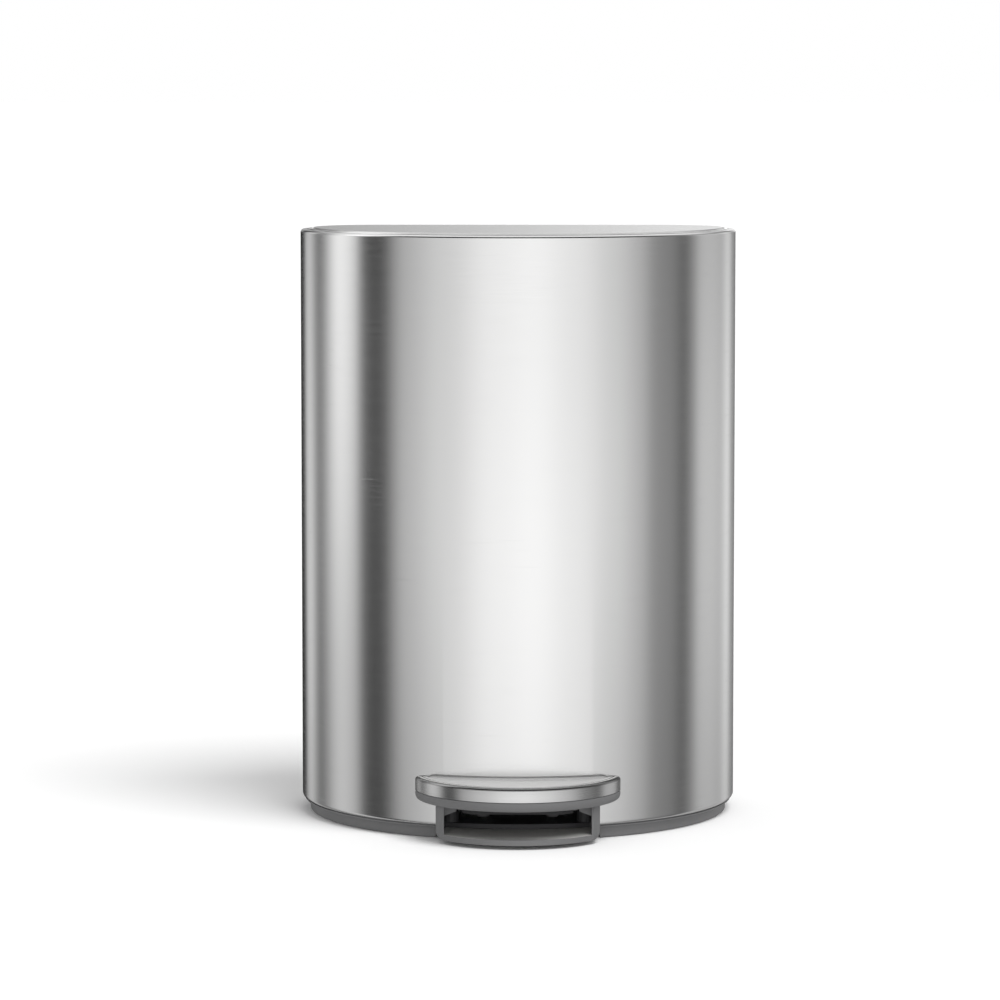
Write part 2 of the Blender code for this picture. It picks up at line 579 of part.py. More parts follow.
# Plastic body of the pedal under the cap, with two screw bosses
body_step = CLAD_T + FIT
body_top = PEDAL_TOP - CLAD_T - SEAT
body = []
for i in range(7):
    turn = pi / 2 * i / 6
    body.append((BAND_ROUND_IN * (1 - sin(turn)), PEDAL_LOW + BAND_ROUND_HIGH * (1 - cos(turn))))
body += [(0, PEDAL_JOINT - FIT), (body_step, PEDAL_JOINT)]
for i in range(4):
    turn = pi / 2 * i / 3
    body.append((body_step + CLAD_ROUND * (1 - cos(turn)), body_top - CLAD_ROUND * (1 - sin(turn))))
body_loops = [pedal_plan(PEDAL_ARC_R - o, z, cap_back) for o, z in body]
pedal_body = sweep("pedal_body", body_loops, GREY, PEDAL_PIVOT)
room = [pedal_plan(PEDAL_ARC_R - SKIRT_T, z, clear_back) for z in (PEDAL_LOW - OVERCUT, PEDAL_JOINT)]
room.append(pedal_plan(PEDAL_ARC_R - SKIRT_T - OVERCUT, PEDAL_CEILING, clear_back))
cut(pedal_body, sweep("room", room, GREY))
lever_top = LEVER_LOW + LEVER_T
pedal_screw_x = LEVER_HALF * PEDAL_SCREW_SHARE
pedal_screw_y = -LEVER_FRONT + PEDAL_SCREW_IN
for x in (-pedal_screw_x, pedal_screw_x):
    tube = circle(x, pedal_screw_y, SCREW_HEAD_R + OVERCUT)
    add(pedal_body, prism("boss", tube, "Z", lever_top + SEAT, PEDAL_CEILING + BOSS_LAP))
    top = LEVER_LOW + PEDAL_SCREW_LONG
    drill(pedal_body, x, pedal_screw_y, lever_top - OVERCUT, top, SCREW_R + PASS_GAP)

# Lever: wide tongue under the pedal, a waist at the axle and a forked tail
pivot_y = -AXLE_REACH
fork_half = ROD_T / 2 + FIT + EAR_T
front_y = -LEVER_FRONT
corner = LEVER_CORNER
right = [(LEVER_HALF - corner, front_y), (LEVER_HALF, front_y + corner), (LEVER_HALF, -LEVER_TAPER_FRONT),
         (LEVER_WAIST_HALF, -LEVER_TAPER_REAR), (LEVER_WAIST_HALF, -LEVER_TAIL_START),
         (fork_half, ROD_Y - FORK_START), (fork_half, ROD_Y + EAR_R)]
outline = right + [(-x, y) for x, y in right[::-1]]
pedal_lever = prism("pedal_lever", outline, "Z", LEVER_LOW, lever_top, BLACK, PEDAL_PIVOT)
bore = AXLE_R + PIN_PLAY
for way in (-1, 1):
    ears = sorted((way * (LEVER_WAIST_HALF - EAR_T), way * LEVER_WAIST_HALF))
    ear = [(pivot_y + EAR_R * cos(t), AXLE_Z + EAR_R * sin(t)) for t in
           [pi + pi * i / 10 for i in range(11)]]
    ear += [(pivot_y + EAR_R, LEVER_LOW + OVERCUT), (pivot_y - EAR_R, LEVER_LOW + OVERCUT)]
    add(pedal_lever, prism("ear", ear, "X", *ears))
    prongs = sorted((way * (fork_half - EAR_T), way * fork_half))
    add(pedal_lever, prism("prong", circle(ROD_Y, LOW_PIN_Z, EAR_R), "X", *prongs))
    hole_x = way * pedal_screw_x
    drill(pedal_lever, hole_x, pedal_screw_y, LEVER_LOW - OVERCUT, lever_top + OVERCUT, SCREW_R + PASS_GAP)
gap_half = fork_half - EAR_T
cut(pedal_lever, block("fork", (-gap_half, ROD_Y - FORK_START / 2, LEVER_LOW - OVERCUT),
                       (gap_half, ROD_Y + 3 * EAR_R, lever_top + OVERCUT)))
wide = LEVER_WAIST_HALF + OVERCUT
cross_drill(pedal_lever, -wide, wide, pivot_y, AXLE_Z, bore)
cross_drill(pedal_lever, -wide, wide, ROD_Y, LOW_PIN_Z, PIN_R + PIN_PLAY)
for side, way in sides:
    place = (way * pedal_screw_x, pedal_screw_y, LEVER_LOW - SEAT - SCREW_HEAD_H)
    screw(f"pedal_screw_{side}", place, 1, PEDAL_SCREW_LONG, PEDAL_PIVOT, BLACK)

# Axle and its two brackets on the plate
axle_line = circle(pivot_y, AXLE_Z, AXLE_R)
prism("pedal_axle", axle_line, "X", -AXLE_HALF, AXLE_HALF, GALVANISED, (0, pivot_y, AXLE_Z))
foot_low = PLATE_TOP + SEAT
foot_top = foot_low + BRACKET_T
for side, way in sides:
    riser = [(pivot_y - BRACKET_HALF, foot_low), (pivot_y - BRACKET_HALF, AXLE_Z)]
    riser += [(pivot_y + BRACKET_HALF * cos(t), AXLE_Z + BRACKET_HALF * sin(t)) for t in
              [pi * (8 - i) / 8 for i in range(1, 8)]]
    riser += [(pivot_y + BRACKET_HALF, AXLE_Z), (pivot_y + BRACKET_HALF, foot_low)]
    edges = sorted((way * BRACKET_IN, way * (BRACKET_IN + BRACKET_T)))
    bracket = prism(f"axle_bracket_{side}", riser, "X", *edges, GALVANISED)
    feet = sorted((way * (BRACKET_IN + BRACKET_T / 2), way * (BRACKET_IN + BRACKET_T + BRACKET_FOOT)))
    foot = block("foot", (feet[0], pivot_y - BRACKET_HALF, foot_low),
                 (feet[1], pivot_y + BRACKET_HALF, foot_top))
    add(bracket, foot)
    cross_drill(bracket, edges[0] - OVERCUT, edges[1] + OVERCUT, pivot_y, AXLE_Z, bore)
    x = way * bracket_screw_x
    drill(bracket, x, pivot_y, foot_low - OVERCUT, foot_top + OVERCUT, SCREW_R + PASS_GAP)
    screw(f"bracket_screw_{side}", (x, pivot_y, foot_top + SEAT + SCREW_HEAD_H), -1, BRACKET_SCREW_LONG)

# Lifting rod: flat bar with a slotted foot eye and a round head eye
foot_slide = (ROD_Y + AXLE_REACH) * (1 - cos(PRESS_ANGLE)) + FIT
slot_mid = ROD_Y - foot_slide / 2
bar = []
for i in range(9):
    turn = pi + pi * i / 8
    bar.append((slot_mid + ROD_FOOT_HALF * cos(turn), LOW_PIN_Z + ROD_FOOT_HALF * sin(turn)))
bar.append((slot_mid + ROD_FOOT_HALF, LOW_PIN_Z + ROD_FOOT_HALF))
bar.append((ROD_Y + ROD_HALF, LOW_PIN_Z + 2 * ROD_FOOT_HALF))
for i in range(9):
    turn = pi * i / 8
    bar.append((ROD_Y + ROD_HALF * cos(turn), CRANK_Z + ROD_HALF * sin(turn)))
bar.append((ROD_Y - ROD_HALF, LOW_PIN_Z + 2 * ROD_FOOT_HALF))
bar.append((slot_mid - ROD_FOOT_HALF, LOW_PIN_Z + ROD_FOOT_HALF))
lift_rod = prism("lift_rod", bar, "X", -ROD_T / 2, ROD_T / 2, GALVANISED, ROD_PIVOT)
play = PIN_R + SLIDE_PLAY
slot_line = [(slot_mid + way * foot_slide / 2 + play * cos(t), LOW_PIN_Z + play * sin(t)) for way, start in
             ((1, -pi / 2), (-1, pi / 2)) for t in [start + pi * i / 8 for i in range(9)]]
cut(lift_rod, prism("slot", slot_line, "X", -ROD_T, ROD_T))
cross_drill(lift_rod, -ROD_T, ROD_T, ROD_Y, CRANK_Z, PIN_R + PIN_SNUG)
pin_half = fork_half + PIN_END
prism("foot_pin", circle(ROD_Y, LOW_PIN_Z, PIN_R), "X", -pin_half, pin_half, GALVANISED, PEDAL_PIVOT)
prism("crank_pin", circle(ROD_Y, CRANK_Z, PIN_R), "X", -pin_half, pin_half, GALVANISED, ROD_PIVOT)

# Guide clip that keeps the rod upright against the back wall
guide_z = (DECK_Z + LEDGE_Z) / 2
wall_y = BODY_BACK - SHELL_T - SEAT
slide_gap = ROD_T / 2 + SLIDE_PLAY
rod_front = ROD_Y - ROD_HALF
rod_rear = ROD_Y + ROD_HALF + 2 * SLIDE_PLAY
guide_line = [(-GUIDE_HALF, wall_y), (-GUIDE_HALF, wall_y - GUIDE_T), (-GUIDE_STEM, wall_y - GUIDE_T),
              (-GUIDE_STEM, rod_front), (-slide_gap, rod_front), (-slide_gap, rod_rear),
              (slide_gap, rod_rear), (slide_gap, rod_front), (GUIDE_STEM, rod_front),
              (GUIDE_STEM, wall_y - GUIDE_T), (GUIDE_HALF, wall_y - GUIDE_T), (GUIDE_HALF, wall_y)]
prism("rod_guide", guide_line, "Z", guide_z - GUIDE_TALL / 2, guide_z + GUIDE_TALL / 2, DARK)

# Hinge block on the collar's ledge with four knuckles
block_low = LEDGE_Z + SEAT
block_top = block_low + HINGE_BASE_T
hinge_block = block("hinge_block", (-HINGE_HALF, HINGE_Y - HINGE_BASE_FRONT, block_low),
                    (HINGE_HALF, HINGE_Y + HINGE_BASE_REAR, block_top), GALVANISED)
inner_knuckle = (KNUCKLE_START, KNUCKLE_START + KNUCKLE_LONG)
lid_knuckle = (inner_knuckle[1] + FIT, inner_knuckle[1] + FIT + LID_KNUCKLE_LONG)
outer_knuckle = (lid_knuckle[1] + FIT, lid_knuckle[1] + FIT + OUTER_KNUCKLE_LONG)
for way in (-1, 1):
    for span in (inner_knuckle, outer_knuckle):
        lo, hi = sorted(way * s for s in span)
        post = block("post", (lo, HINGE_Y - KNUCKLE_R * 0.55, block_low + HINGE_BASE_T / 2),
                     (hi, HINGE_Y + KNUCKLE_R * 0.75, HINGE_Z))
        add(hinge_block, post)
        add(hinge_block, prism("knuckle", circle(HINGE_Y, HINGE_Z, KNUCKLE_R, 24), "X", lo, hi))
    x = way * hinge_screw_x
    drill(hinge_block, x, hinge_screw_y, block_low - OVERCUT, block_top + OVERCUT, SCREW_R + PASS_GAP)
cut(hinge_block, block("gap", (-window_half, HINGE_Y - 2 * HINGE_BASE_FRONT, block_low - OVERCUT),
                       (window_half, HINGE_Y + HINGE_GAP, block_top + OVERCUT)))
pin_bore = HINGE_PIN_R + PIN_PLAY
cross_drill(hinge_block, -HINGE_HALF - OVERCUT, HINGE_HALF + OVERCUT, HINGE_Y, HINGE_Z, pin_bore)
prism("hinge_pin", circle(HINGE_Y, HINGE_Z, HINGE_PIN_R), "X", -HINGE_HALF, HINGE_HALF, GALVANISED,
      (0, HINGE_Y, HINGE_Z))
for side, way in sides:
    place = (way * hinge_screw_x, hinge_screw_y, block_top + SEAT + SCREW_HEAD_H)
    screw(f"hinge_screw_{side}", place, -1, HINGE_SCREW_LONG)


# Lid skin: shallow pan with a straight rear edge
def lid_plan(inset, z):
    back = LID_BACK + LID_INSET
    return plan(inset + LID_INSET, z, BODY_R, back, min(BACK_CORNER, back * LID_CORNER_SHARE))


edge = LID_EDGE
flange_low = LID_TOP - LID_FLANGE
skin = [lid_plan(0, flange_low)]
skin += [lid_plan(edge * (1 - cos(t)), LID_TOP - edge * (1 - sin(t))) for t in (0, pi / 6, pi / 3, pi / 2)]
lid_skin = sweep("lid_skin", skin, STEEL, LID_PIVOT)
under = LID_TOP - LID_SKIN_T
pan = [lid_plan(LID_SKIN_T, flange_low - OVERCUT), lid_plan(LID_SKIN_T, under)]
cut(lid_skin, sweep("pan", pan, GREY))

# Lid liner: plate with a locating skirt, two hinge arms and two crank ears
liner_in = LID_SKIN_T + FIT
liner_top = under - SEAT
skirt_back = BUCKET_BACK - LINER_SKIRT_T


def skirt_plan(inset, z):
    back = skirt_back + LINER_SKIRT_IN
    return plan(inset + LINER_SKIRT_IN, z, BODY_R, back, back * SKIRT_CORNER_SHARE)


liner = [skirt_plan(LINER_SKIRT_T, LINER_LOW), skirt_plan(LINER_SKIRT_T, LINER_SKIRT_LOW),
         skirt_plan(0, LINER_SKIRT_LOW), skirt_plan(0, LINER_LOW), lid_plan(liner_in, LINER_LOW),
         lid_plan(liner_in, liner_top)]
lid_liner = sweep("lid_liner", liner, DARK, LID_PIVOT)
radial = (-cos(HALF_OPEN), -sin(HALF_OPEN))
across = (-sin(HALF_OPEN), cos(HALF_OPEN))


def on_crank(along, side):
    return (HINGE_Y + along * radial[0] + side * across[0], HINGE_Z + along * radial[1] + side * across[1])


crank_reach = CRANK_R + PIN_R + CRANK_TIP / 2
ear = [on_crank(crank_reach, CRANK_TIP), on_crank(crank_reach, -CRANK_TIP),
       on_crank(CRANK_R * 0.5, -CRANK_TIP), (LID_BACK - LID_SKIN_T - 2 * FIT, LINER_LOW + OVERCUT),
       (HINGE_Y - CRANK_R * 1.7, LINER_LOW + OVERCUT)]
near = HINGE_Y - ROD_Y - PIN_R - FIT
far = CRANK_R + PIN_R + FIT
half_slot = PIN_R + FIT
crank_slot = [on_crank(near, half_slot), on_crank(far, half_slot), on_crank(far, -half_slot),
              on_crank(near, -half_slot)]
for way in (-1, 1):
    lo, hi = sorted(way * s for s in lid_knuckle)
    arm_half = KNUCKLE_R / 2
    arm = block("arm", (lo, LID_BACK - ARM_LAP, HINGE_Z - arm_half), (hi, HINGE_Y, HINGE_Z + arm_half))
    add(lid_liner, arm)
    add(lid_liner, prism("knuckle", circle(HINGE_Y, HINGE_Z, KNUCKLE_R, 24), "X", lo, hi))
    gap = block("gap", (lo - FIT, LID_BACK - FLANGE_CLEAR, flange_low - OVERCUT),
                (hi + FIT, HINGE_Y, HINGE_Z + arm_half + FIT))
    cut(lid_skin, gap)
    lo, hi = sorted((way * (ROD_T / 2 + FIT), way * (ROD_T / 2 + FIT + CRANK_EAR_T)))
    add(lid_liner, prism("crank", ear, "X", lo, hi))
    cut(lid_liner, prism("slot", crank_slot, "X", lo - FIT / 2, hi + FIT / 2))
cross_drill(lid_liner, -HINGE_HALF, HINGE_HALF, HINGE_Y, HINGE_Z, pin_bore)
clearance = block("rear", (-mouth_half, LID_BACK - LINER_CLEAR, flange_low - OVERCUT),
                  (mouth_half, HINGE_Y, LINER_LOW + LINER_CLEAR))
cut(lid_skin, clearance)

# Soft pads between the lid and the bucket's rim
rim_top = LEDGE_Z + SEAT + BUCKET_RIM_T
for side, way in sides:
    x = way * (BODY_R - BUMPER_IN) * sin(BUMPER_TURN)
    y = -(BODY_R - BUMPER_IN) * cos(BUMPER_TURN)
    low, high = rim_top + SEAT, LINER_LOW - SEAT
    prism(f"lid_bumper_{side}", circle(x, y, BUMPER_R, 12), "Z", low, high, RUBBER, LID_PIVOT)

# Inner bucket: tapered, with a rim that hangs on the ledge and two lugs for the bail
rim_low = LEDGE_Z + SEAT
wall_in = BUCKET_WALL_IN
low_in = wall_in + BUCKET_TAPER
foot_in = low_in + BUCKET_FOOT
bucket = [bucket_plan(foot_in, BUCKET_LOW), bucket_plan(low_in, BUCKET_LOW + BUCKET_FOOT),
          bucket_plan(wall_in, rim_low), bucket_plan(BUCKET_RIM_IN, rim_low),
          bucket_plan(BUCKET_RIM_IN, rim_top), bucket_plan(wall_in + BUCKET_T, rim_top),
          bucket_plan(low_in + BUCKET_T, BUCKET_LOW + BUCKET_FOOT + BUCKET_T / 2),
          bucket_plan(foot_in + BUCKET_T / 2, BUCKET_LOW + BUCKET_T)]
inner_bucket = sweep("inner_bucket", bucket, DARK)
bail_x = BODY_R - BAIL_IN
bail_z = rim_top + SEAT / 2 + BAIL_R
lug_x = bail_x - BAIL_R - FIT - LUG_T
for way in (-1, 1):
    lo, hi = sorted((way * lug_x, way * (lug_x + LUG_T)))
    add(inner_bucket, block("lug", (lo, -LUG_HALF, rim_low + OVERCUT), (hi, LUG_HALF, rim_top + LUG_HIGH)))
    cross_drill(inner_bucket, lo - OVERCUT, hi + OVERCUT, 0, bail_z, BAIL_R + BAIL_PLAY)

# Wire bail, folded forward on the rim
path = [((lug_x - BAIL_END), 0), (bail_x, 0)]
path += [(bail_x * cos(t), -bail_x * sin(t)) for t in [pi * i / 36 for i in range(2, 35)]]
path += [(-bail_x, 0), (-(lug_x - BAIL_END), 0)]
loops = []
for i, (x, y) in enumerate(path):
    before = path[max(i - 1, 0)]
    after = path[min(i + 1, len(path) - 1)]
    way_in = atan2(y - before[1], x - before[0]) if i else atan2(after[1] - y, after[0] - x)
    way_out = atan2(after[1] - y, after[0] - x) if i < len(path) - 1 else way_in
    turn = (way_out - way_in + pi) % (2 * pi) - pi
    mid = way_in + turn / 2
    stretch = 1 / cos(turn / 2)
    side = (-sin(mid) * stretch, cos(mid) * stretch)
    loops.append([(x + u * side[0], y + u * side[1], bail_z + v) for u, v in circle(0, 0, BAIL_R, 8)])
sweep("bucket_bail", loops, BRIGHT)
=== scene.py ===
from math import atan2, cos, pi, radians, sin, sqrt

import bmesh
import bpy
from mathutils import Matrix, Vector


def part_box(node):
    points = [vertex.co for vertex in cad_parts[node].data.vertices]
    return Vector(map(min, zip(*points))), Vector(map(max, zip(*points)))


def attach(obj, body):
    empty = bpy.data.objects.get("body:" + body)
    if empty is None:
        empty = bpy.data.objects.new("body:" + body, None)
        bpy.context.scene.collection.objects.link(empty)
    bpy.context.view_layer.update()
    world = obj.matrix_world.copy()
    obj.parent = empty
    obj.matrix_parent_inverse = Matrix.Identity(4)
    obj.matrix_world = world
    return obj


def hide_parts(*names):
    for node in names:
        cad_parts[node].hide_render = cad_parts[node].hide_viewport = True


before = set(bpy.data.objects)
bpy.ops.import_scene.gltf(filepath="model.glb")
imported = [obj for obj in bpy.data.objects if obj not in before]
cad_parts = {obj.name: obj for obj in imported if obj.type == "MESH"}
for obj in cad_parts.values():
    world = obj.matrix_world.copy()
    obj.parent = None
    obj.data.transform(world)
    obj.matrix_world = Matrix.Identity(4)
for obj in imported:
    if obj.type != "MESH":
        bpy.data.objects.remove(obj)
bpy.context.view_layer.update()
scene = bpy.context.scene
MM = 0.001

# The camera stands two metres ahead of the body, a little above the lid, and looks slightly down.
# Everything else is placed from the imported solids.
shell_low, shell_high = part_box("outer_shell")
body_r = shell_high.x
axis_y = shell_low.y + body_r
behind = shell_high.y - axis_y
back_corner = 45 * MM
camera_far = 2.102
camera_high = 0.3423
camera_pitch = radians(5.32)
camera_pan = radians(0.232)
camera = bpy.data.objects.new("camera", bpy.data.cameras.new("camera"))
scene.collection.objects.link(camera)
camera.data.lens = 160.2
camera.location = (0, axis_y - camera_far, camera_high)
camera.rotation_euler = (pi / 2 - camera_pitch, 0, camera_pan)
scene.camera = camera
scene.view_settings.view_transform = "Standard"


# Shader maths written with operators: each Value holds one output socket of a node tree.
class Value:
    def __init__(self, tree, socket):
        self.tree = tree
        self.socket = socket

    def node(self, kind, **settings):
        made = self.tree.nodes.new(kind)
        for name, value in settings.items():
            setattr(made, name, value)
        return made

    def put(self, value, socket):
        if isinstance(value, Value):
            self.tree.links.new(value.socket, socket)
        else:
            socket.default_value = value

    def maths(self, operation, *values, clamp=False):
        made = self.node("ShaderNodeMath", operation=operation, use_clamp=clamp)
        for value, socket in zip(values, made.inputs):
            self.put(value, socket)
        return Value(self.tree, made.outputs[0])

    def __add__(self, other):
        return self.maths("ADD", self, other)

    def __sub__(self, other):
        return self.maths("SUBTRACT", self, other)

    def __mul__(self, other):
        return self.maths("MULTIPLY", self, other)

    def __truediv__(self, other):
        return self.maths("DIVIDE", self, other)

    def __radd__(self, other):
        return self.maths("ADD", other, self)

    def __rsub__(self, other):
        return self.maths("SUBTRACT", other, self)

    def __rmul__(self, other):
        return self.maths("MULTIPLY", other, self)

    def clamped(self):
        return self.maths("ADD", self, 0.0, clamp=True)

    def between(self, low, high):
        """0 below low, 1 above high and even between them."""
        return ((self - low) / (high - low)).clamped()

    def split(self):
        made = self.node("ShaderNodeSeparateXYZ")
        self.put(self, made.inputs[0])
        return [Value(self.tree, made.outputs[i]) for i in range(3)]

    def noise(self, scale, detail=2.0, stretch=(1, 1, 1)):
        mapping = self.node("ShaderNodeMapping")
        self.put(self, mapping.inputs["Vector"])
        mapping.inputs["Scale"].default_value = stretch
        made = self.node("ShaderNodeTexNoise")
        self.tree.links.new(mapping.outputs[0], made.inputs["Vector"])
        made.inputs["Scale"].default_value = scale
        made.inputs["Detail"].default_value = detail
        return Value(self.tree, made.outputs["Fac"])

    def mixed(self, low, high):
        # Sockets 6, 7 and 2 of this node are its colours.
        made = self.node("ShaderNodeMix", data_type="RGBA")
        self.put(self, made.inputs["Factor"])
        self.put(low, made.inputs[6])
        self.put(high, made.inputs[7])
        return Value(self.tree, made.outputs[2])

    def ramp(self, stops):
        made = self.node("ShaderNodeValToRGB")
        made.color_ramp.interpolation = "EASE"
        points = made.color_ramp.elements
        while len(points) < len(stops):
            points.new(0.5)
        for point, (place, level) in zip(points, stops):
            point.position = place
            point.color = (level, level, level, 1)
        self.put(self, made.inputs["Fac"])
        return Value(self.tree, made.outputs["Color"])


# Soft studio: a white floor and backdrop, and in reflections a ring of tall soft panels with dark
# gaps between them and a dark band above it, which is paler high up behind. A soft light leans back
# overhead and one low panel stands behind.
world = bpy.data.worlds.new("studio")
scene.world = world
world.use_nodes = True
tree = world.node_tree
back = tree.nodes["Background"]
way = Value(tree, tree.nodes.new("ShaderNodeTexCoord").outputs["Generated"])
east, north, up = way.split()
turn = way.maths("ARCTAN2", east, north * -1) / (2 * pi) + 0.5


def neutral(level):
    return level, level, level, 1


def panel(degrees, level):
    return degrees / 360 + 0.5, level


panels = [panel(-180, 0.0), panel(-157, 0.0), panel(-148, 0.8), panel(-143, 0.8), panel(-130, 0.18),
          panel(-108, 1.02), panel(-97, 0.86), panel(-88, 0.07), panel(-76, 0.07), panel(-62, 0.68),
          panel(-38, 0.96), panel(-12, 1.32), panel(8, 1.42), panel(30, 1.22), panel(52, 0.92),
          panel(68, 0.66), panel(76, 0.35), panel(88, 0.32), panel(98, 0.11), panel(104, 0.32),
          panel(112, 0.76), panel(124, 0.72), panel(136, 0.58), panel(146, 0.95), panel(158, 0.3),
          panel(168, 0.2), panel(180, 0.02)]
ring = turn.ramp(panels)
# The panels are brightest at half height; the one on the left has its lamp high up.
height = (up + 0.084) * 20
left_lamp = turn.between(0.145, 0.19) * (1 - turn.between(0.24, 0.27))
level = way.maths("MAXIMUM", 1.12 - height * height * 0.1 + left_lamp * height * 0.3, 0.75)
lit = ring.split()[0] * (level + up.between(0.02, 0.12) * 0.4)
high_behind = north.between(-0.1, 0.4) * up.between(0.3, 0.45)
gap = 0.05 + (north * -1).between(0.7, 0.95) * 0.35 + left_lamp * 1.4 + high_behind * 0.5
gap_above = up.between(0.26, 0.36).mixed(lit, gap)
overhead = (up + north * 0.4).between(0.74, 0.86).mixed(gap_above, neutral(1.15))
low_behind = up.between(0.0, 0.03) * (1 - up.between(0.16, 0.26)) * north.between(0.94, 0.98)
behind_right = east.between(-0.05, 0.05).mixed(neutral(0.5), neutral(1.3))
studio = low_behind.mixed(overhead, behind_right)
path = tree.nodes.new("ShaderNodeLightPath")
direct, mirrored = (Value(tree, path.outputs[name]) for name in ("Is Camera Ray", "Is Glossy Ray"))
plain = direct.mixed(neutral(0.54), neutral(1.0))
way.put(mirrored.mixed(plain, studio), back.inputs["Color"])
back.inputs["Strength"].default_value = 1.0

# The key light stands high at the front right and gives the soft shadow on the left. A weak one
# in front reaches under the pedal.
key = bpy.data.objects.new("key_light", bpy.data.lights.new("key_light", "SUN"))
key.data.angle = radians(32)
key.data.energy = 1.8
key.location = (0.72, axis_y - 0.85, 1.95)
fill = bpy.data.objects.new("fill_light", bpy.data.lights.new("fill_light", "SUN"))
fill.data.angle = radians(50)
fill.data.energy = 0.8
fill.location = (0.1, axis_y - 1.9, 0.25)
for lamp in (key, fill):
    lamp.rotation_euler = (Vector((0, axis_y, 0)) - lamp.location).to_track_quat("-Z", "Y").to_euler()
    lamp.visible_glossy = False
    scene.collection.objects.link(lamp)


# The floor: a wide white disc without a shine, which mirrored rays don't see.
def new_material(name, metallic=0.0):
    mat = bpy.data.materials.new(name)
    mat.use_nodes = True
    shader = mat.node_tree.nodes["Principled BSDF"]
    shader.inputs["Metallic"].default_value = metallic
    place = mat.node_tree.nodes.new("ShaderNodeTexCoord").outputs["Object"]
    return mat, shader, Value(mat.node_tree, place)


floor_mesh = bpy.data.meshes.new("floor")
bm = bmesh.new()
bmesh.ops.create_circle(bm, cap_ends=True, radius=90, segments=96)
bm.to_mesh(floor_mesh)
bm.free()
floor = bpy.data.objects.new("floor", floor_mesh)
scene.collection.objects.link(floor)
floor.visible_glossy = False
floor_mat, shader, place = new_material("floor_white")
shader.inputs["Base Color"].default_value = neutral(1.0)
shader.inputs["Specular IOR Level"].default_value = 0.0
shader.inputs["Roughness"].default_value = 1.0
floor_mesh.materials.append(floor_mat)


# Brushed steel: fine short lines along one direction, drawn by noise that is stretched along the
# grain. They change the brightness, the roughness and the height a little. Rubbed edges are paler.
def bump(shader, height, strength, distance):
    made = height.node("ShaderNodeBump")
    made.inputs["Strength"].default_value = strength
    made.inputs["Distance"].default_value = distance
    height.put(height, made.inputs["Height"])
    height.tree.links.new(made.outputs[0], shader.inputs["Normal"])


def edge_wear(place, width):
    """Near 1 on sharp edges and 0 on flats, from how the normal turns within a small bevel."""
    rounded = place.node("ShaderNodeBevel", samples=4)
    rounded.inputs["Radius"].default_value = width
    flat = place.node("ShaderNodeNewGeometry")
    dot = place.node("ShaderNodeVectorMath", operation="DOT_PRODUCT")
    place.tree.links.new(rounded.outputs[0], dot.inputs[0])
    place.tree.links.new(flat.outputs["Normal"], dot.inputs[1])
    return ((1 - Value(place.tree, dot.outputs["Value"])) * 5).clamped()


def brushed_steel(name, grain, level=0.68, roughness=0.21, marks=0.5, tread_wear_and_sheen=0.0):
    mat, shader, place = new_material(name, metallic=1.0)
    fine_along, fine_across = 55, 5200
    scratch_along, scratch_across = 38, 1500
    fine_stretch = tuple(fine_along if g else fine_across for g in grain)
    scratch_stretch = tuple(scratch_along if g else scratch_across for g in grain)
    fine = place.noise(1.0, detail=4.0, stretch=fine_stretch)
    scratch = place.noise(1.0, detail=1.0, stretch=scratch_stretch).between(0.66, 0.8)
    cloud = place.noise(9.0, detail=2.0)
    wear = edge_wear(place, width=0.4 * MM)
    tone = ((fine - 0.5) * marks + (cloud - 0.5) * 0.25 + wear * 0.2 + 0.5 - scratch * 0.18).clamped()
    dark = tuple(level * share for share in (0.93, 0.927, 0.922)) + (1,)
    light = tuple(level * share for share in (1.06, 1.059, 1.057)) + (1,)
    shade = tone.mixed(dark, light)
    rough = fine * 0.1 + cloud * 0.04 + scratch * 0.05 + (roughness - 0.07)
    if tread_wear_and_sheen:
        # Shoes dull and roughen what faces up. That top is also given a paler colour, which is a painted
        # highlight, and the dark line along the pressed edge is a painted dark reflection.
        faces_up = Value(place.tree, place.node("ShaderNodeTexCoord").outputs["Normal"]).split()[2]
        worn_and_sheen = faces_up.between(0.9, 0.98) * tread_wear_and_sheen
        # Painted dark reflection: the faces between the top and the front edge are darkened into a line.
        rim = faces_up.between(0.02, 0.2) * (1 - faces_up.between(0.88, 0.96))
        painted_edge_dark, dulled_sheen_colour = neutral(0.12), (0.9, 0.898, 0.893, 1)
        shade = (rim * 0.7).mixed(shade, painted_edge_dark)
        # Painted highlight: the up-facing top gets a paler colour besides its shoe wear.
        shade = worn_and_sheen.mixed(shade, dulled_sheen_colour)
        rough = rough + worn_and_sheen * 0.2
        place.put(worn_and_sheen * -0.4 + 1.0, shader.inputs["Metallic"])
    place.put(shade, shader.inputs["Base Color"])
    place.put(rough, shader.inputs["Roughness"])
    bump(shader, fine - scratch * 0.5, strength=0.16, distance=0.012 * MM)
    return mat


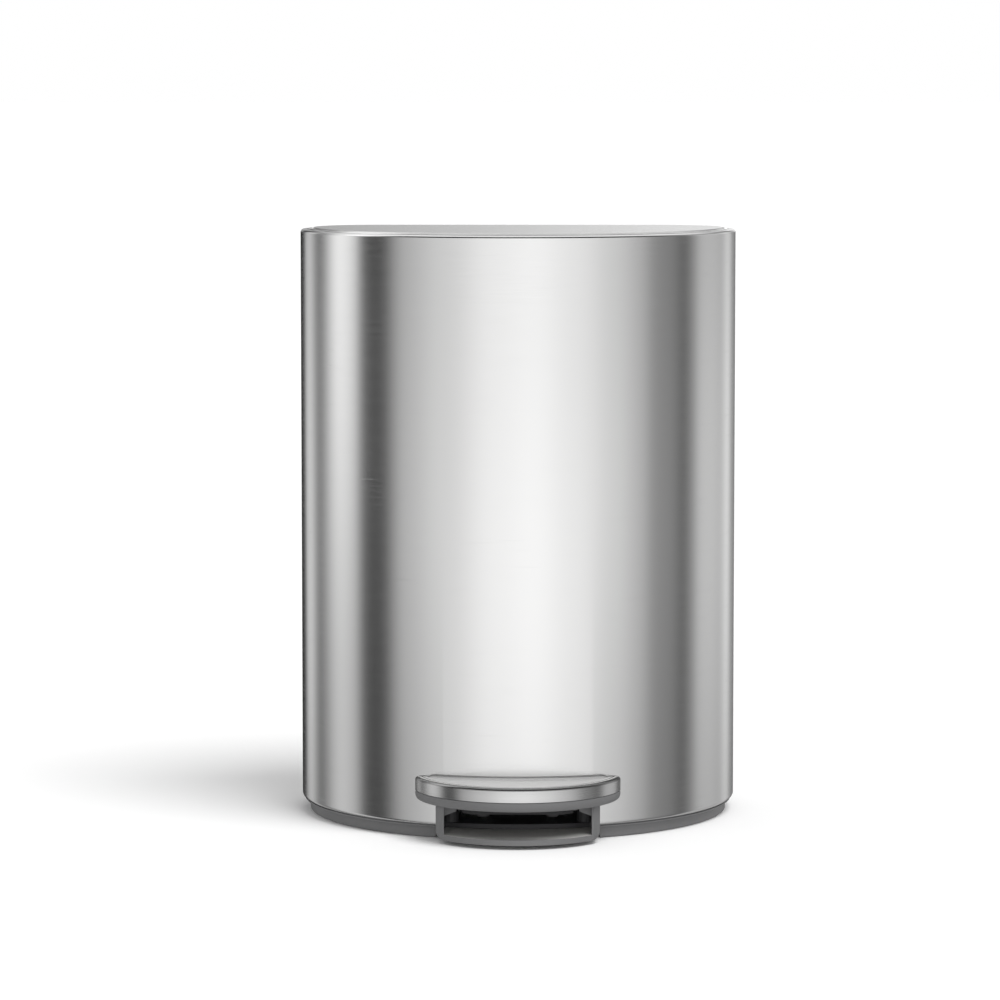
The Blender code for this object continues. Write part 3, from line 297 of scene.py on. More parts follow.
# Outer shell: one steel sheet wrapped round a half-round plan with a flat back. The wall is curled
# in over the base ring at the foot and rounded over into a narrow shoulder at the top.
# Its plan follows a rule, so a node group sweeps a profile of inset and height round it.
def plan_sweep_group():
    group = bpy.data.node_groups.new("plan_sweep", "GeometryNodeTree")
    sockets = group.interface
    sockets.new_socket("Profile", in_out="INPUT", socket_type="NodeSocketGeometry")
    measures = ("Half Width", "Behind", "Corner")
    for name in measures:
        sockets.new_socket(name, in_out="INPUT", socket_type="NodeSocketFloat")
    sockets.new_socket("Steps", in_out="INPUT", socket_type="NodeSocketInt")
    sockets.new_socket("Material", in_out="INPUT", socket_type="NodeSocketMaterial")
    sockets.new_socket("Piece", in_out="OUTPUT", socket_type="NodeSocketGeometry")
    nodes, link = group.nodes, group.links.new
    given, result = nodes.new("NodeGroupInput"), nodes.new("NodeGroupOutput")
    half, rear, corner = (Value(group, given.outputs[name]) for name in measures)
    outline = nodes.new("GeometryNodeCurvePrimitiveQuadrilateral")
    link((half * 2).socket, outline.inputs["Width"])
    link((half + rear).socket, outline.inputs["Height"])
    spot = nodes.new("ShaderNodeSeparateXYZ")
    link(nodes.new("GeometryNodeInputPosition").outputs[0], spot.inputs[0])
    at_rear = half.maths("GREATER_THAN", Value(group, spot.outputs["Y"]), 0.0)
    # The two front arcs stop just short of each other, or the profile is swept twice where they meet.
    front = half * 0.998
    radius = front + at_rear * (corner - front)
    rounded = nodes.new("GeometryNodeFilletCurve")
    rounded.mode = "POLY"
    rounded.inputs["Limit Radius"].default_value = True
    link(outline.outputs[0], rounded.inputs["Curve"])
    link(given.outputs["Steps"], rounded.inputs["Count"])
    link(radius.socket, rounded.inputs["Radius"])
    moved = nodes.new("GeometryNodeSetPosition")
    shift = nodes.new("ShaderNodeCombineXYZ")
    link(((rear - half) * 0.5).socket, shift.inputs["Y"])
    link(rounded.outputs[0], moved.inputs["Geometry"])
    link(shift.outputs[0], moved.inputs["Offset"])
    upright = nodes.new("GeometryNodeSetCurveNormal")
    upright.mode = "Z_UP"
    link(moved.outputs[0], upright.inputs["Curve"])
    profile = nodes.new("GeometryNodeMeshToCurve")
    link(given.outputs["Profile"], profile.inputs["Mesh"])
    swept = nodes.new("GeometryNodeCurveToMesh")
    link(upright.outputs[0], swept.inputs["Curve"])
    link(profile.outputs[0], swept.inputs["Profile Curve"])
    whole = nodes.new("GeometryNodeRealizeInstances")
    link(swept.outputs[0], whole.inputs[0])
    painted = nodes.new("GeometryNodeSetMaterial")
    link(whole.outputs[0], painted.inputs["Geometry"])
    link(given.outputs["Material"], painted.inputs["Material"])
    link(painted.outputs[0], result.inputs[0])
    return group


plan_sweep = plan_sweep_group()


def give(modifier, group, **values):
    """Sets a node modifier's named inputs."""
    tree_items = group.interface.items_tree
    names = {item.name: item.identifier for item in tree_items if item.in_out == "INPUT"}
    modifier.node_group = group
    for name, value in values.items():
        modifier[names[name.replace("_", " ")]] = value


same_spot = 0.002 * MM


def settle(obj, cap=False, sharp=40):
    """Makes the object's evaluated shape its own plain mesh, with faces out and creases kept."""
    bpy.context.view_layer.update()
    graph = bpy.context.evaluated_depsgraph_get()
    mesh = bpy.data.meshes.new_from_object(obj.evaluated_get(graph), depsgraph=graph)
    obj.modifiers.clear()
    obj.data = mesh
    bm = bmesh.new()
    bm.from_mesh(mesh)
    bmesh.ops.remove_doubles(bm, verts=bm.verts, dist=same_spot)
    if cap:
        bmesh.ops.holes_fill(bm, edges=[edge for edge in bm.edges if edge.is_boundary])
    bmesh.ops.recalc_face_normals(bm, faces=bm.faces)
    bm.to_mesh(mesh)
    bm.free()
    for face in mesh.polygons:
        face.use_smooth = True
    mesh.set_sharp_from_angle(angle=radians(sharp))
    return obj


def at_origin(obj):
    """Moves the place of a finished piece into its mesh."""
    bpy.context.view_layer.update()
    obj.data.transform(obj.matrix_world)
    obj.location = (0, 0, 0)
    obj.rotation_euler = (0, 0, 0)
    return obj


def placed(name, mesh):
    obj = bpy.data.objects.new(name, mesh)
    scene.collection.objects.link(obj)
    obj.location = (0, axis_y, 0)
    return obj


def sweep(name, profile, mat, closed=True, rear=behind, corner=back_corner, steps=72):
    """A profile of (inset, height) swept round the body's plan; an open one gets flat caps."""
    count = len(profile)
    mesh = bpy.data.meshes.new(name)
    edges = [(i, (i + 1) % count) for i in range(count if closed else count - 1)]
    mesh.from_pydata([(-inset, -height, 0) for inset, height in profile], edges, [])
    obj = placed(name, mesh)
    give(obj.modifiers.new("sweep", "NODES"), plan_sweep,
         Half_Width=body_r, Behind=rear, Corner=corner, Steps=steps, Material=mat)
    return at_origin(settle(obj, cap=not closed))


def arc(inset, height, radius, start, end, steps, rise=None):
    """Profile points on an arc, with angles from the outward direction in degrees."""
    rise = rise or radius
    turns = [radians(start + (end - start) * i / steps) for i in range(steps + 1)]
    return [(inset - radius * cos(t), height + rise * sin(t)) for t in turns]


def loft(name, loops, mat, ring=False):
    """Skins point loops of equal length, in the body's own frame, into a closed body."""
    bm = bmesh.new()
    rows = [[bm.verts.new(point) for point in loop] for loop in loops]
    for low, high in list(zip(rows, rows[1:])) + ([(rows[-1], rows[0])] if ring else []):
        for i in range(len(low)):
            j = (i + 1) % len(low)
            bm.faces.new((low[i], low[j], high[j], high[i]))
    if not ring:
        bm.faces.new(rows[0])
        bm.faces.new(rows[-1])
    mesh = bpy.data.meshes.new(name)
    bm.to_mesh(mesh)
    bm.free()
    mesh.materials.append(mat)
    return at_origin(settle(placed(name, mesh)))


def extrude(name, outline, axis, low, high, mat=None):
    """A flat outline pulled along one axis; its points are the other two coordinates in order."""
    spots = {"X": lambda u, v, w: (w, u, v), "Y": lambda u, v, w: (u, w, v),
             "Z": lambda u, v, w: (u, v, w)}
    spot = spots[axis]
    return loft(name, [[spot(u, v, w) for u, v in outline] for w in (low, high)], mat)


def block(name, low, high, mat=None):
    outline = [(low[0], low[1]), (high[0], low[1]), (high[0], high[1]), (low[0], high[1])]
    return extrude(name, outline, "Z", low[2], high[2], mat)


def shape(obj, tool, operation="DIFFERENCE"):
    tool.data.materials.clear()
    tool.data.materials.append(obj.data.materials[0])
    made = obj.modifiers.new("shape", "BOOLEAN")
    made.object = tool
    made.operation = operation
    made.solver = "MANIFOLD"
    settle(obj)
    bpy.data.objects.remove(tool, do_unlink=True)
    return obj


def stands_for(obj, body, slot, *nodes):
    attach(obj, body)
    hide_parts(*nodes)


steel_round = brushed_steel("steel_round_grain", (True, True, False))
sheet = 0.6 * MM
foot_z = shell_low.z
shoulder_z = shell_high.z
round_r = 1.5 * MM
curl_in = 1.0 * MM
curl_high = 1.5 * MM
shoulder_in = 3.3 * MM
outside = arc(curl_in, foot_z + curl_high, curl_in, -90, 0, 12, curl_high)
outside += arc(round_r, shoulder_z - round_r, round_r, 0, 90, 12)
outside.append((shoulder_in, shoulder_z))
inside = arc(curl_in + sheet, foot_z + curl_high, curl_in, -90, 0, 12, curl_high)
inside += arc(round_r, shoulder_z - round_r, round_r - sheet, 0, 90, 12)
inside.append((shoulder_in, shoulder_z - sheet))
shell = sweep("shell_sheet", outside + inside[::-1], steel_round)
housing_low, housing_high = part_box("pedal_housing")
mouth_half = housing_high.x - 3.5 * MM
mouth_top = housing_high.z + 2 * MM
ahead = -body_r * 1.1
shape(shell, block("mouth", (-mouth_half, ahead, -MM), (mouth_half, -body_r / 2, mouth_top)))
stands_for(shell, "frame", "brushed_steel_sheet", "outer_shell")


# Trim bead: a bright rounded ring that fills the step between the shoulder and the lid.
bright = brushed_steel("bright_steel", (True, True, False), level=0.74, roughness=0.16, marks=0.3)
bead_low, bead_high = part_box("rim_trim")
bead_out = bead_low.x + body_r
bead_in = bead_out + 2 * MM
bead_r = 0.55 * MM
bead = [(bead_out, bead_low.z)] + arc(bead_out + bead_r, bead_high.z - bead_r, bead_r, 0, 90, 6)
bead += arc(bead_in - bead_r, bead_high.z - bead_r, bead_r, 90, 180, 6) + [(bead_in, bead_low.z)]
stands_for(sweep("rim_bead", bead, bright), "frame", "bright_steel", "rim_trim")


# Moulded plastic: a fine pebbled skin, slightly paler and smoother where edges are rubbed.
def moulded(name, colour, roughness=0.5, grain=900.0, wear_level=0.25, painted_fill=None):
    mat, shader, place = new_material(name)
    pebble = place.noise(grain, detail=2.0)
    cloud = place.noise(22.0, detail=3.0)
    wear = edge_wear(place, width=0.4 * MM)
    tone = (cloud * 0.5 + pebble * 0.25 + wear * wear_level + 0.05).clamped()
    dark = tuple(c * 0.86 for c in colour) + (1,)
    light = tuple(min(c * 1.22 + 0.004, 1) for c in colour) + (1,)
    shade = tone.mixed(dark, light)
    if painted_fill:
        # Painted fill light: what faces up is made paler, more so between the two given depths, which
        # lifts the shade under the pedal.
        lies_on = place.node("ShaderNodeTexCoord").outputs["Normal"]
        level = Value(place.tree, lies_on).split()[2].between(0.8, 0.98)
        fill_toward_back = place.split()[1].between(*painted_fill) * 0.9 + 0.1
        painted_fill_grey = (0.5, 0.495, 0.48, 1)
        shade = (level * fill_toward_back * (0.7 + cloud * 0.6)).clamped().mixed(shade, painted_fill_grey)
    place.put(shade, shader.inputs["Base Color"])
    place.put(pebble * 0.16 + cloud * 0.1 + (roughness - 0.12) - wear * 0.1, shader.inputs["Roughness"])
    bump(shader, pebble, strength=0.25, distance=0.03 * MM)
    return mat


# Base ring: a grey moulding with a plain skirt, a small lip under the shell's foot, a neck inside
# the shell and a flat deck above the lever, with four screw bosses under the deck.
def circle(u, v, radius, steps=32):
    turns = [2 * pi * i / steps for i in range(steps)]
    return [(u + radius * cos(t), v + radius * sin(t)) for t in turns]


def middle(low, high):
    """The middle of a box in plan, in the body's own frame."""
    return (low.x + high.x) / 2, (low.y + high.y) / 2 - axis_y


ring_grey = moulded("base_grey", (0.15, 0.15, 0.152), roughness=0.46)
base_low, base_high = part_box("base_ring")
lip_in = base_low.x + body_r
skirt_in = lip_in + 2.5 * MM
neck_in = lip_in + sheet
skirt_t = 3.2 * MM
lip_high = foot_z - 0.6 * MM
lip_low = lip_high - 0.7 * MM
edge_r = 0.5 * MM
lip_r = 0.25 * MM
under_lip = skirt_in + 0.6 * MM
ring_line = [(skirt_in + skirt_t, base_high.z - 2 * MM)]
ring_line += arc(skirt_in + skirt_t - edge_r, base_low.z + edge_r, edge_r, 180, 270, 4)
ring_line += arc(skirt_in + edge_r, base_low.z + edge_r, edge_r, -90, 0, 5)
ring_line += [(skirt_in, lip_low - 0.5 * MM), (under_lip, lip_low - 0.4 * MM)]
ring_line += [(under_lip, lip_low)] + arc(lip_in + lip_r, lip_low + lip_r, lip_r, -90, 0, 4)
ring_line += arc(lip_in + lip_r, lip_high - lip_r, lip_r, 0, 90, 4)
ring_line += [(neck_in, lip_high), (neck_in, base_high.z)]
base = sweep("base_moulding", ring_line, ring_grey, closed=False)
play = 0.3 * MM
notch_half = housing_high.x + play
notch_top = mouth_top + 2 * MM
shape(base, block("notch", (-notch_half, ahead, -MM), (notch_half, -body_r * 0.7, notch_top)))
rod_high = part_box("lift_rod")[1]
rod_half = 3 * MM
rod_y = (rod_high.y - rod_half) - axis_y
rod_slot_x, rod_slot_y = 2.5 * MM, 6 * MM
shape(base, block("slot", (-rod_slot_x, rod_y - rod_slot_y, base_high.z - 4 * MM),
                  (rod_slot_x, rod_y + rod_slot_y, base_high.z + MM)))
boss_r = 4 * MM
boss_foot = 6.95 * MM
bore_r = 1.7 * MM
for n in range(4):
    screw_low, screw_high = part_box(f"base_screw_{n + 1}")
    x, y = middle(screw_low, screw_high)
    boss = extrude("boss", circle(x, y, boss_r), "Z", boss_foot, base_high.z - MM)
    shape(base, boss, "UNION")
    shape(base, extrude("bore", circle(x, y, bore_r), "Z", 0, screw_high.z))
stands_for(base, "frame", "grey_plastic", "base_ring")


# Lid skin: a shallow steel pressing with a small rounded edge and a straight rear edge; its grain
# runs straight across. Notches at the rear clear the hinge arms and the hinge itself.
steel_flat = brushed_steel("steel_straight_grain", (True, False, True), level=0.66, roughness=0.24)
lid_low, lid_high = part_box("lid_skin")
hinge_low, hinge_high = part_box("hinge_pin")
hinge_y = (hinge_low.y + hinge_high.y) / 2 - axis_y
hinge_z = (hinge_low.z + hinge_high.z) / 2
lid_in = lid_low.x + body_r
lid_back = lid_high.y - axis_y
lid_t = 0.7 * MM
lid_r = 0.8 * MM
lid_rear = lid_back + lid_in
lid_corner = min(back_corner, lid_rear * 0.95)
pressing = [(lid_in + 2 * lid_r, lid_high.z)] + arc(lid_in + lid_r, lid_high.z - lid_r, lid_r, 90, 0, 8)
pressing += [(lid_in, lid_low.z), (lid_in + lid_t, lid_low.z), (lid_in + lid_t, lid_high.z - lid_t)]
lid = sweep("lid_pressing", pressing, steel_flat, closed=False, rear=lid_rear, corner=lid_corner)
arm_from = 14.9 * MM
arm_to = 24.7 * MM
arm_half = 1.6 * MM
for way in (-1, 1):
    lo, hi = sorted((way * arm_from, way * arm_to))
    shape(lid, block("arm_gap", (lo - play, lid_back - 2 * MM, lid_low.z - MM),
                     (hi + play, hinge_y, hinge_z + arm_half + play)))
liner_low = lid_high.z - 3.3 * MM
gap_deep = 1.2 * MM
shape(lid, block("hinge_gap", (-mouth_half, lid_back - gap_deep, lid_low.z - MM),
                 (mouth_half, hinge_y, liner_low + gap_deep)))
stands_for(lid, "lid", "brushed_steel_sheet", "lid_skin")


# Pedal cap: a steel pressing with a rounded front edge, a fine groove inside that edge and a small
# upturned lip at the back that follows the body.
cap_low, cap_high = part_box("pedal_cladding")
pedal_arc = 48 * MM
pedal_arc_y = axis_y - cap_low.y - pedal_arc
pedal_back = body_r + 0.8 * MM
cap_top = cap_high.z - 1.0 * MM
cap_t = 0.8 * MM
cap_r = 1.6 * MM


def pedal_plan(arc_r, z, back_r, arc_y, steps=112, back_steps=48):
    """A front arc that ends on the body's curve, which closes it behind."""
    meet = (back_r ** 2 - arc_r ** 2 + arc_y ** 2) / (2 * arc_y)
    half = sqrt(back_r ** 2 - meet ** 2)
    wide = atan2(half, meet - arc_y)
    close = atan2(half, meet)
    front = [-wide + 2 * wide * i / steps for i in range(steps + 1)]
    rear = [close - 2 * close * i / back_steps for i in range(1, back_steps)]
    points = [(arc_r * sin(t), -arc_y - arc_r * cos(t), z) for t in front]
    return points + [(back_r * sin(t), -back_r * cos(t), z) for t in rear]


def pedal_loft(name, line, mat, back_r):
    return loft(name, [pedal_plan(pedal_arc - inset, z, back_r, pedal_arc_y) for inset, z in line], mat)


groove_at = 2.3 * MM
groove_w = 0.45 * MM
groove_deep = 0.3 * MM
cap_edge = arc(cap_r, cap_top - cap_r, cap_r, 0, 90, 8)
cap_line = [(0, cap_low.z)] + cap_edge + [(groove_at, cap_top)]
cap_line += [(groove_at + groove_w * share, cap_top - groove_deep) for share in (0.3, 0.7)]
cap_line += [(groove_at + groove_w, cap_top)]
# The pedal top gets shoe wear with a painted highlight, and a painted dark reflection along its front
# edge.
pedal_steel = brushed_steel("pedal_steel", (True, True, False), level=0.57, roughness=0.25, marks=0.1,
                            tread_wear_and_sheen=1.0)
cap = pedal_loft("pedal_cap", cap_line, pedal_steel, pedal_back)
hollow = [(cap_t, cap_low.z - MM)] + arc(cap_r, cap_top - cap_r, cap_r - cap_t, 0, 90, 6)
hollow_back = body_r - 4 * MM
shape(cap, pedal_loft("hollow", hollow, None, hollow_back))
lip_share = 0.875
lip_half = lip_share * pedal_arc / pedal_back
lip_t = 0.9 * MM
lip_r = 0.3 * MM
lip_low_z = cap_top - cap_t / 2
lip_top_z = cap_high.z
lip_steps = 64
lip_cut = lip_r * 0.3
end_share = 1 / 14
lip_rows = []
for i in range(lip_steps + 1):
    along = 2 * i / lip_steps - 1
    t = lip_half * along
    end = min(1.0, (1 - abs(along)) / end_share)
    top = lip_low_z + cap_t / 2 + (lip_top_z - lip_low_z - cap_t / 2) * sqrt(1 - (1 - end) ** 2)
    section = [(0, lip_low_z), (lip_t, lip_low_z), (lip_t, top - lip_r)]
    section += [(lip_t - lip_cut, top - lip_cut), (lip_t - lip_r, top), (lip_r, top)]
    section += [(lip_cut, top - lip_cut), (0, top - lip_r)]
    lip_rows.append([((pedal_back + d) * sin(t), -(pedal_back + d) * cos(t), z) for d, z in section])
shape(cap, loft("rear_lip", lip_rows, pedal_steel), "UNION")
stands_for(cap, "pedal", "brushed_steel_sheet", "pedal_cladding")


# Pedal body: the grey moulding under the cap, rounded underneath, hollow, with two screw bosses.
grey = moulded("grey_moulding", (0.135, 0.135, 0.137))
under_low, under_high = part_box("pedal_body")
band_in = 2.3 * MM
band_high = 3.6 * MM
skirt = 2.8 * MM
step = cap_t + 0.3 * MM
ceiling = cap_top - 2.3 * MM
under = arc(band_in, under_low.z + band_high, band_in, -90, 0, 10, band_high)
under += [(0, cap_low.z - 0.45 * MM), (0.15 * MM, cap_low.z - 0.3 * MM), (step, cap_low.z)]
under += arc(step + cap_r, under_high.z - cap_r, cap_r, 0, 90, 5)
pedal = pedal_loft("pedal_moulding", under, grey, pedal_back)
room = [(skirt, under_low.z - MM), (skirt, cap_low.z), (skirt + MM, ceiling)]
shape(pedal, pedal_loft("room", room, None, hollow_back))
plate_top = 17.5 * MM
pedal_boss_r = 3.9 * MM
boss_low, boss_high = plate_top + 0.15 * MM, ceiling + 0.6 * MM
sides = ("left", "right")
for side in sides:
    screw_low, screw_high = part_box(f"pedal_screw_{side}")
    x, y = middle(screw_low, screw_high)
    shape(pedal, extrude("boss", circle(x, y, pedal_boss_r), "Z", boss_low, boss_high), "UNION")
    shape(pedal, extrude("bore", circle(x, y, bore_r), "Z", plate_top - MM, screw_high.z))
stands_for(pedal, "pedal", "grey_plastic", "pedal_body")


# Pedal housing: a grey U of two legs and a floor with rounded outer corners, small gussets at the
# tops of the legs and a tongue that is screwed under the base.
def soften(obj, width, segments=2, angle=40):
    made = obj.modifiers.new("soften", "BEVEL")
    made.width = width
    made.segments = segments
    made.limit_method = "ANGLE"
    made.angle_limit = radians(angle)
    made.use_clamp_overlap = True
    return settle(obj)


house_half = housing_high.x
house_low = housing_low.z
house_top = housing_high.z
house_arc = pedal_arc - skirt
house_arc_y = axis_y - housing_low.y - house_arc
house_back = housing_high.y - axis_y
leg_w = 3.8 * MM
floor_t = 2.5 * MM
corner_r = 3.6 * MM
front_steps = 48


def house_front(x):
    return -house_arc_y - sqrt(house_arc ** 2 - x ** 2)


across = [house_half * (2 * i / front_steps - 1) for i in range(front_steps + 1)]
floor_line = [(x, house_front(x)) for x in across]
floor_line += [(house_half, house_back), (-house_half, house_back)]
# The housing floor is painted paler toward the back, a painted fill light in the shade under the pedal.
fill_depths = (housing_low.y + MM, housing_low.y + 7 * MM)
house_grey = moulded("housing_grey", (0.14, 0.14, 0.142), painted_fill=fill_depths)
housing = extrude("housing", floor_line, "Z", house_low, house_low + floor_t, house_grey)
leg_in = house_half - leg_w
leg_mid = leg_in + leg_w / 2
near = body_r + play
gusset_in, gusset_low = leg_in - 5.6 * MM, house_top - 5.8 * MM
gusset_foot = house_top - 3.6 * MM
for way in (-1, 1):
    spots = [leg_in + leg_w * i / 6 for i in range(7)]
    line = [(way * x, house_front(x)) for x in spots]
    line += [(way * x, -sqrt(near ** 2 - x ** 2)) for x in spots[::-1]]
    shape(housing, extrude("leg", line, "Z", house_low, house_top), "UNION")
    gusset = [(way * leg_mid, gusset_low), (way * leg_mid, house_top), (way * gusset_in, house_top),
              (way * gusset_in, gusset_foot), (way * leg_in, gusset_low)]
    web = extrude("gusset", gusset, "Y", house_front(house_half), -sqrt(near ** 2 - leg_in ** 2))
    shape(housing, web, "UNION")
    lost = [(way * (house_half + MM), house_low + corner_r), (way * (house_half + MM), house_low - MM),
            (way * (house_half - corner_r), house_low - MM)]
    for t in [pi / 2 * i / 10 for i in range(11)]:
        lost.append((way * (house_half - corner_r * (1 - sin(t))), house_low + corner_r * (1 - cos(t))))
    shape(housing, extrude("lost", lost, "Y", house_front(0) - MM, house_back + MM))
seat_r = 3.1 * MM
seat_deep = 1.75 * MM
for side in sides:
    screw_low, screw_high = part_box(f"housing_screw_{side}")
    x, y = middle(screw_low, screw_high)
    shape(housing, extrude("bore", circle(x, y, bore_r), "Z", 0, house_low + floor_t + MM))
    shape(housing, extrude("seat", circle(x, y, seat_r), "Z", 0, screw_low.z + seat_deep))
soften(housing, width=0.3 * MM)
stands_for(housing, "frame", "grey_plastic", "pedal_housing")


# Inner bucket: a dark tapered moulding whose rim rests on the collar's ledge, with two lugs that
# carry the wire bail.
dark = moulded("dark_moulding", (0.042, 0.042, 0.045))
bucket_low, bucket_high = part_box("inner_bucket")


def plan(inset, z, reach, back, corner, steps=96, corner_steps=20):
    """The body's plan at an inset: a half circle in front, two rounded corners and a flat back."""
    r, c, b = reach - inset, corner - inset, back - inset
    front = [pi + pi * i / steps for i in range(steps + 1)]
    points = [(r * cos(t), r * sin(t), z) for t in front]
    for side in (0, 1):
        turns = [pi / 2 * (side + i / corner_steps) for i in range(corner_steps + 1)]
        points += [((r - c) * (1 - 2 * side) + c * cos(t), b - c + c * sin(t), z) for t in turns]
    return points


rim_in = bucket_low.x + body_r
wall_in = rim_in + 8.8 * MM
foot_in = wall_in + 3 * MM
wall_t = 1.6 * MM
rim_t = 1.8 * MM
rim_z = bucket_high.z - 4.2 * MM
rear_flat = bucket_high.y - axis_y + rim_in - wall_in
rear_round = rear_flat - 2 * MM
foot_r = 3 * MM
rim_cut_low, rim_cut = 0.3 * MM, 0.5 * MM


def bucket_plan(inset, z):
    return plan(inset, z, body_r, rear_flat + wall_in, rear_round + wall_in)


bucket_line = arc(foot_in + foot_r, bucket_low.z + foot_r, foot_r, -90, 0, 6)
bucket_line += [(wall_in, rim_z - rim_t), (rim_in + rim_cut_low, rim_z - rim_t)]
bucket_line += [(rim_in, rim_z - rim_t + rim_cut_low), (rim_in, rim_z - rim_cut)]
bucket_line += [(rim_in + rim_cut, rim_z), (wall_in + wall_t - rim_cut, rim_z)]
bucket_line += [(wall_in + wall_t, rim_z - rim_cut)]
bucket_line += [(foot_in + wall_t, bucket_low.z + foot_r + wall_t / 2)]
bucket_line += [(foot_in + wall_t + 1.2 * MM, bucket_low.z + wall_t + 0.4 * MM)]
bucket_line += [(foot_in + foot_r, bucket_low.z + wall_t)]
bucket = loft("bucket", [bucket_plan(inset, z) for inset, z in bucket_line], dark)
bail_low, bail_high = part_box("bucket_bail")
bail_r = 1.2 * MM
bail_x = bail_high.x - bail_r
bail_z = (bail_low.z + bail_high.z) / 2
lug_t = 2 * MM
lug_r = 3 * MM
lug_x = bail_x - bail_r - play - lug_t
lug_low = rim_z - 0.8 * MM
for way in (-1, 1):
    lo, hi = sorted((way * lug_x, way * (lug_x + lug_t)))
    lug = [(-lug_r, lug_low), (lug_r, lug_low)]
    for t in [pi * i / 16 for i in range(17)]:
        lug.append((lug_r * cos(t), bucket_high.z - lug_r + lug_r * sin(t)))
    shape(bucket, extrude("lug", lug, "X", lo, hi), "UNION")
    shape(bucket, extrude("bore", circle(0, bail_z, bail_r + 0.1 * MM), "X", lo - MM, hi + MM))
stands_for(bucket, "frame", "dark_plastic", "inner_bucket")


# Wire bail: a bright round wire folded forward on the bucket's rim, its ends in the lugs.
wire = bpy.data.curves.new("bail_wire", "CURVE")
wire.dimensions = "3D"
wire.bevel_depth = bail_r
wire.bevel_resolution = 5
wire.use_fill_caps = True
bend = 3 * MM
bends = [pi / 2 * i / 8 for i in range(1, 9)]
turns = [pi * i / 120 for i in range(6, 115)]
hook = [(lug_x - 1.2 * MM, 0), (bail_x - bend, 0)]
hook += [(bail_x - bend * (1 - sin(t)), -bend * (1 - cos(t))) for t in bends]
route = hook + [(bail_x * cos(t), -bail_x * sin(t)) for t in turns]
route += [(-x, y) for x, y in hook[::-1]]
line = wire.splines.new("POLY")
line.points.add(len(route) - 1)
for point, (x, y) in zip(line.points, route):
    point.co = (x, y, bail_z, 1)
bail_curve = bpy.data.objects.new("bail_wire", wire)
scene.collection.objects.link(bail_curve)
bpy.context.view_layer.update()
graph = bpy.context.evaluated_depsgraph_get()
bail_mesh = bpy.data.meshes.new_from_object(bail_curve.evaluated_get(graph), depsgraph=graph)
bpy.data.objects.remove(bail_curve, do_unlink=True)
bail_mesh.materials.append(bright)
bail = at_origin(settle(placed("bail", bail_mesh)))
stands_for(bail, "frame", "bright_steel", "bucket_bail")


# Top collar: the dark moulding inside the shell's top, with a flange under the trim and the ledge
# that carries the bucket; a window behind lets the rod through and two posts take the hinge.
collar_low, collar_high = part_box("top_collar")
collar_out = collar_low.x + body_r
collar_in = collar_out + 2.1 * MM
ledge_z = rim_z - rim_t - 0.15 * MM
ledge_t = 2 * MM
ledge_in = rim_in + 4 * MM
flange_z = bead_low.z - 0.15 * MM
flange_in = bead_in


def body_plan(inset, z):
    return plan(inset, z, body_r, behind, back_corner)


flange_cut, ledge_cut = 0.3 * MM, 0.4 * MM
flange_low = flange_z - 2.1 * MM
collar_loops = [body_plan(collar_out, collar_low.z), body_plan(collar_out, collar_high.z),
                body_plan(flange_in - flange_cut, flange_z), body_plan(flange_in, flange_z - flange_cut),
                body_plan(flange_in, flange_low), body_plan(collar_in, flange_low),
                body_plan(collar_in, ledge_z), bucket_plan(ledge_in - ledge_cut, ledge_z),
                bucket_plan(ledge_in, ledge_z - ledge_cut), bucket_plan(ledge_in, ledge_z - ledge_t),
                body_plan(collar_in, ledge_z - ledge_t), body_plan(collar_in, collar_low.z)]
collar = loft("collar", collar_loops, dark, ring=True)
window_half = 6.2 * MM
shape(collar, block("window", (-window_half, rod_y - 5.4 * MM, ledge_z - 4 * MM),
                    (window_half, hinge_y - 0.6 * MM, ledge_z + 2 * MM)))
post_r = 3.4 * MM
post_foot = ledge_z - 10 * MM
for side in sides:
    screw_low, screw_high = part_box(f"hinge_screw_{side}")
    x, y = middle(screw_low, screw_high)
    shape(collar, extrude("post", circle(x, y, post_r), "Z", post_foot, ledge_z - MM), "UNION")
    shape(collar, extrude("bore", circle(x, y, bore_r), "Z", post_foot - MM, ledge_z + MM))
stands_for(collar, "frame", "dark_plastic", "top_collar")


# Screws: pan heads with a straight slot on a threaded shank. One screw is turned from a profile,
# and a node group sets copies of it on points that carry the way each one faces.
def copies_group():
    group = bpy.data.node_groups.new("copies", "GeometryNodeTree")
    sockets = group.interface
    sockets.new_socket("Places", in_out="INPUT", socket_type="NodeSocketGeometry")
    sockets.new_socket("Item", in_out="INPUT", socket_type="NodeSocketObject")
    sockets.new_socket("Material", in_out="INPUT", socket_type="NodeSocketMaterial")
    sockets.new_socket("Pieces", in_out="OUTPUT", socket_type="NodeSocketGeometry")
    nodes, link = group.nodes, group.links.new
    given, result = nodes.new("NodeGroupInput"), nodes.new("NodeGroupOutput")
    item = nodes.new("GeometryNodeObjectInfo")
    link(given.outputs["Item"], item.inputs["Object"])
    facing = nodes.new("GeometryNodeInputNamedAttribute")
    facing.data_type = "FLOAT_VECTOR"
    facing.inputs["Name"].default_value = "facing"
    turned = nodes.new("FunctionNodeEulerToRotation")
    link(facing.outputs[0], turned.inputs[0])
    spread = nodes.new("GeometryNodeInstanceOnPoints")
    link(given.outputs["Places"], spread.inputs["Points"])
    link(item.outputs["Geometry"], spread.inputs["Instance"])
    link(turned.outputs[0], spread.inputs["Rotation"])
    whole = nodes.new("GeometryNodeRealizeInstances")
    link(spread.outputs[0], whole.inputs[0])
    painted = nodes.new("GeometryNodeSetMaterial")
    link(whole.outputs[0], painted.inputs["Geometry"])
    link(given.outputs["Material"], painted.inputs["Material"])
    link(painted.outputs[0], result.inputs[0])
    return group


copies = copies_group()


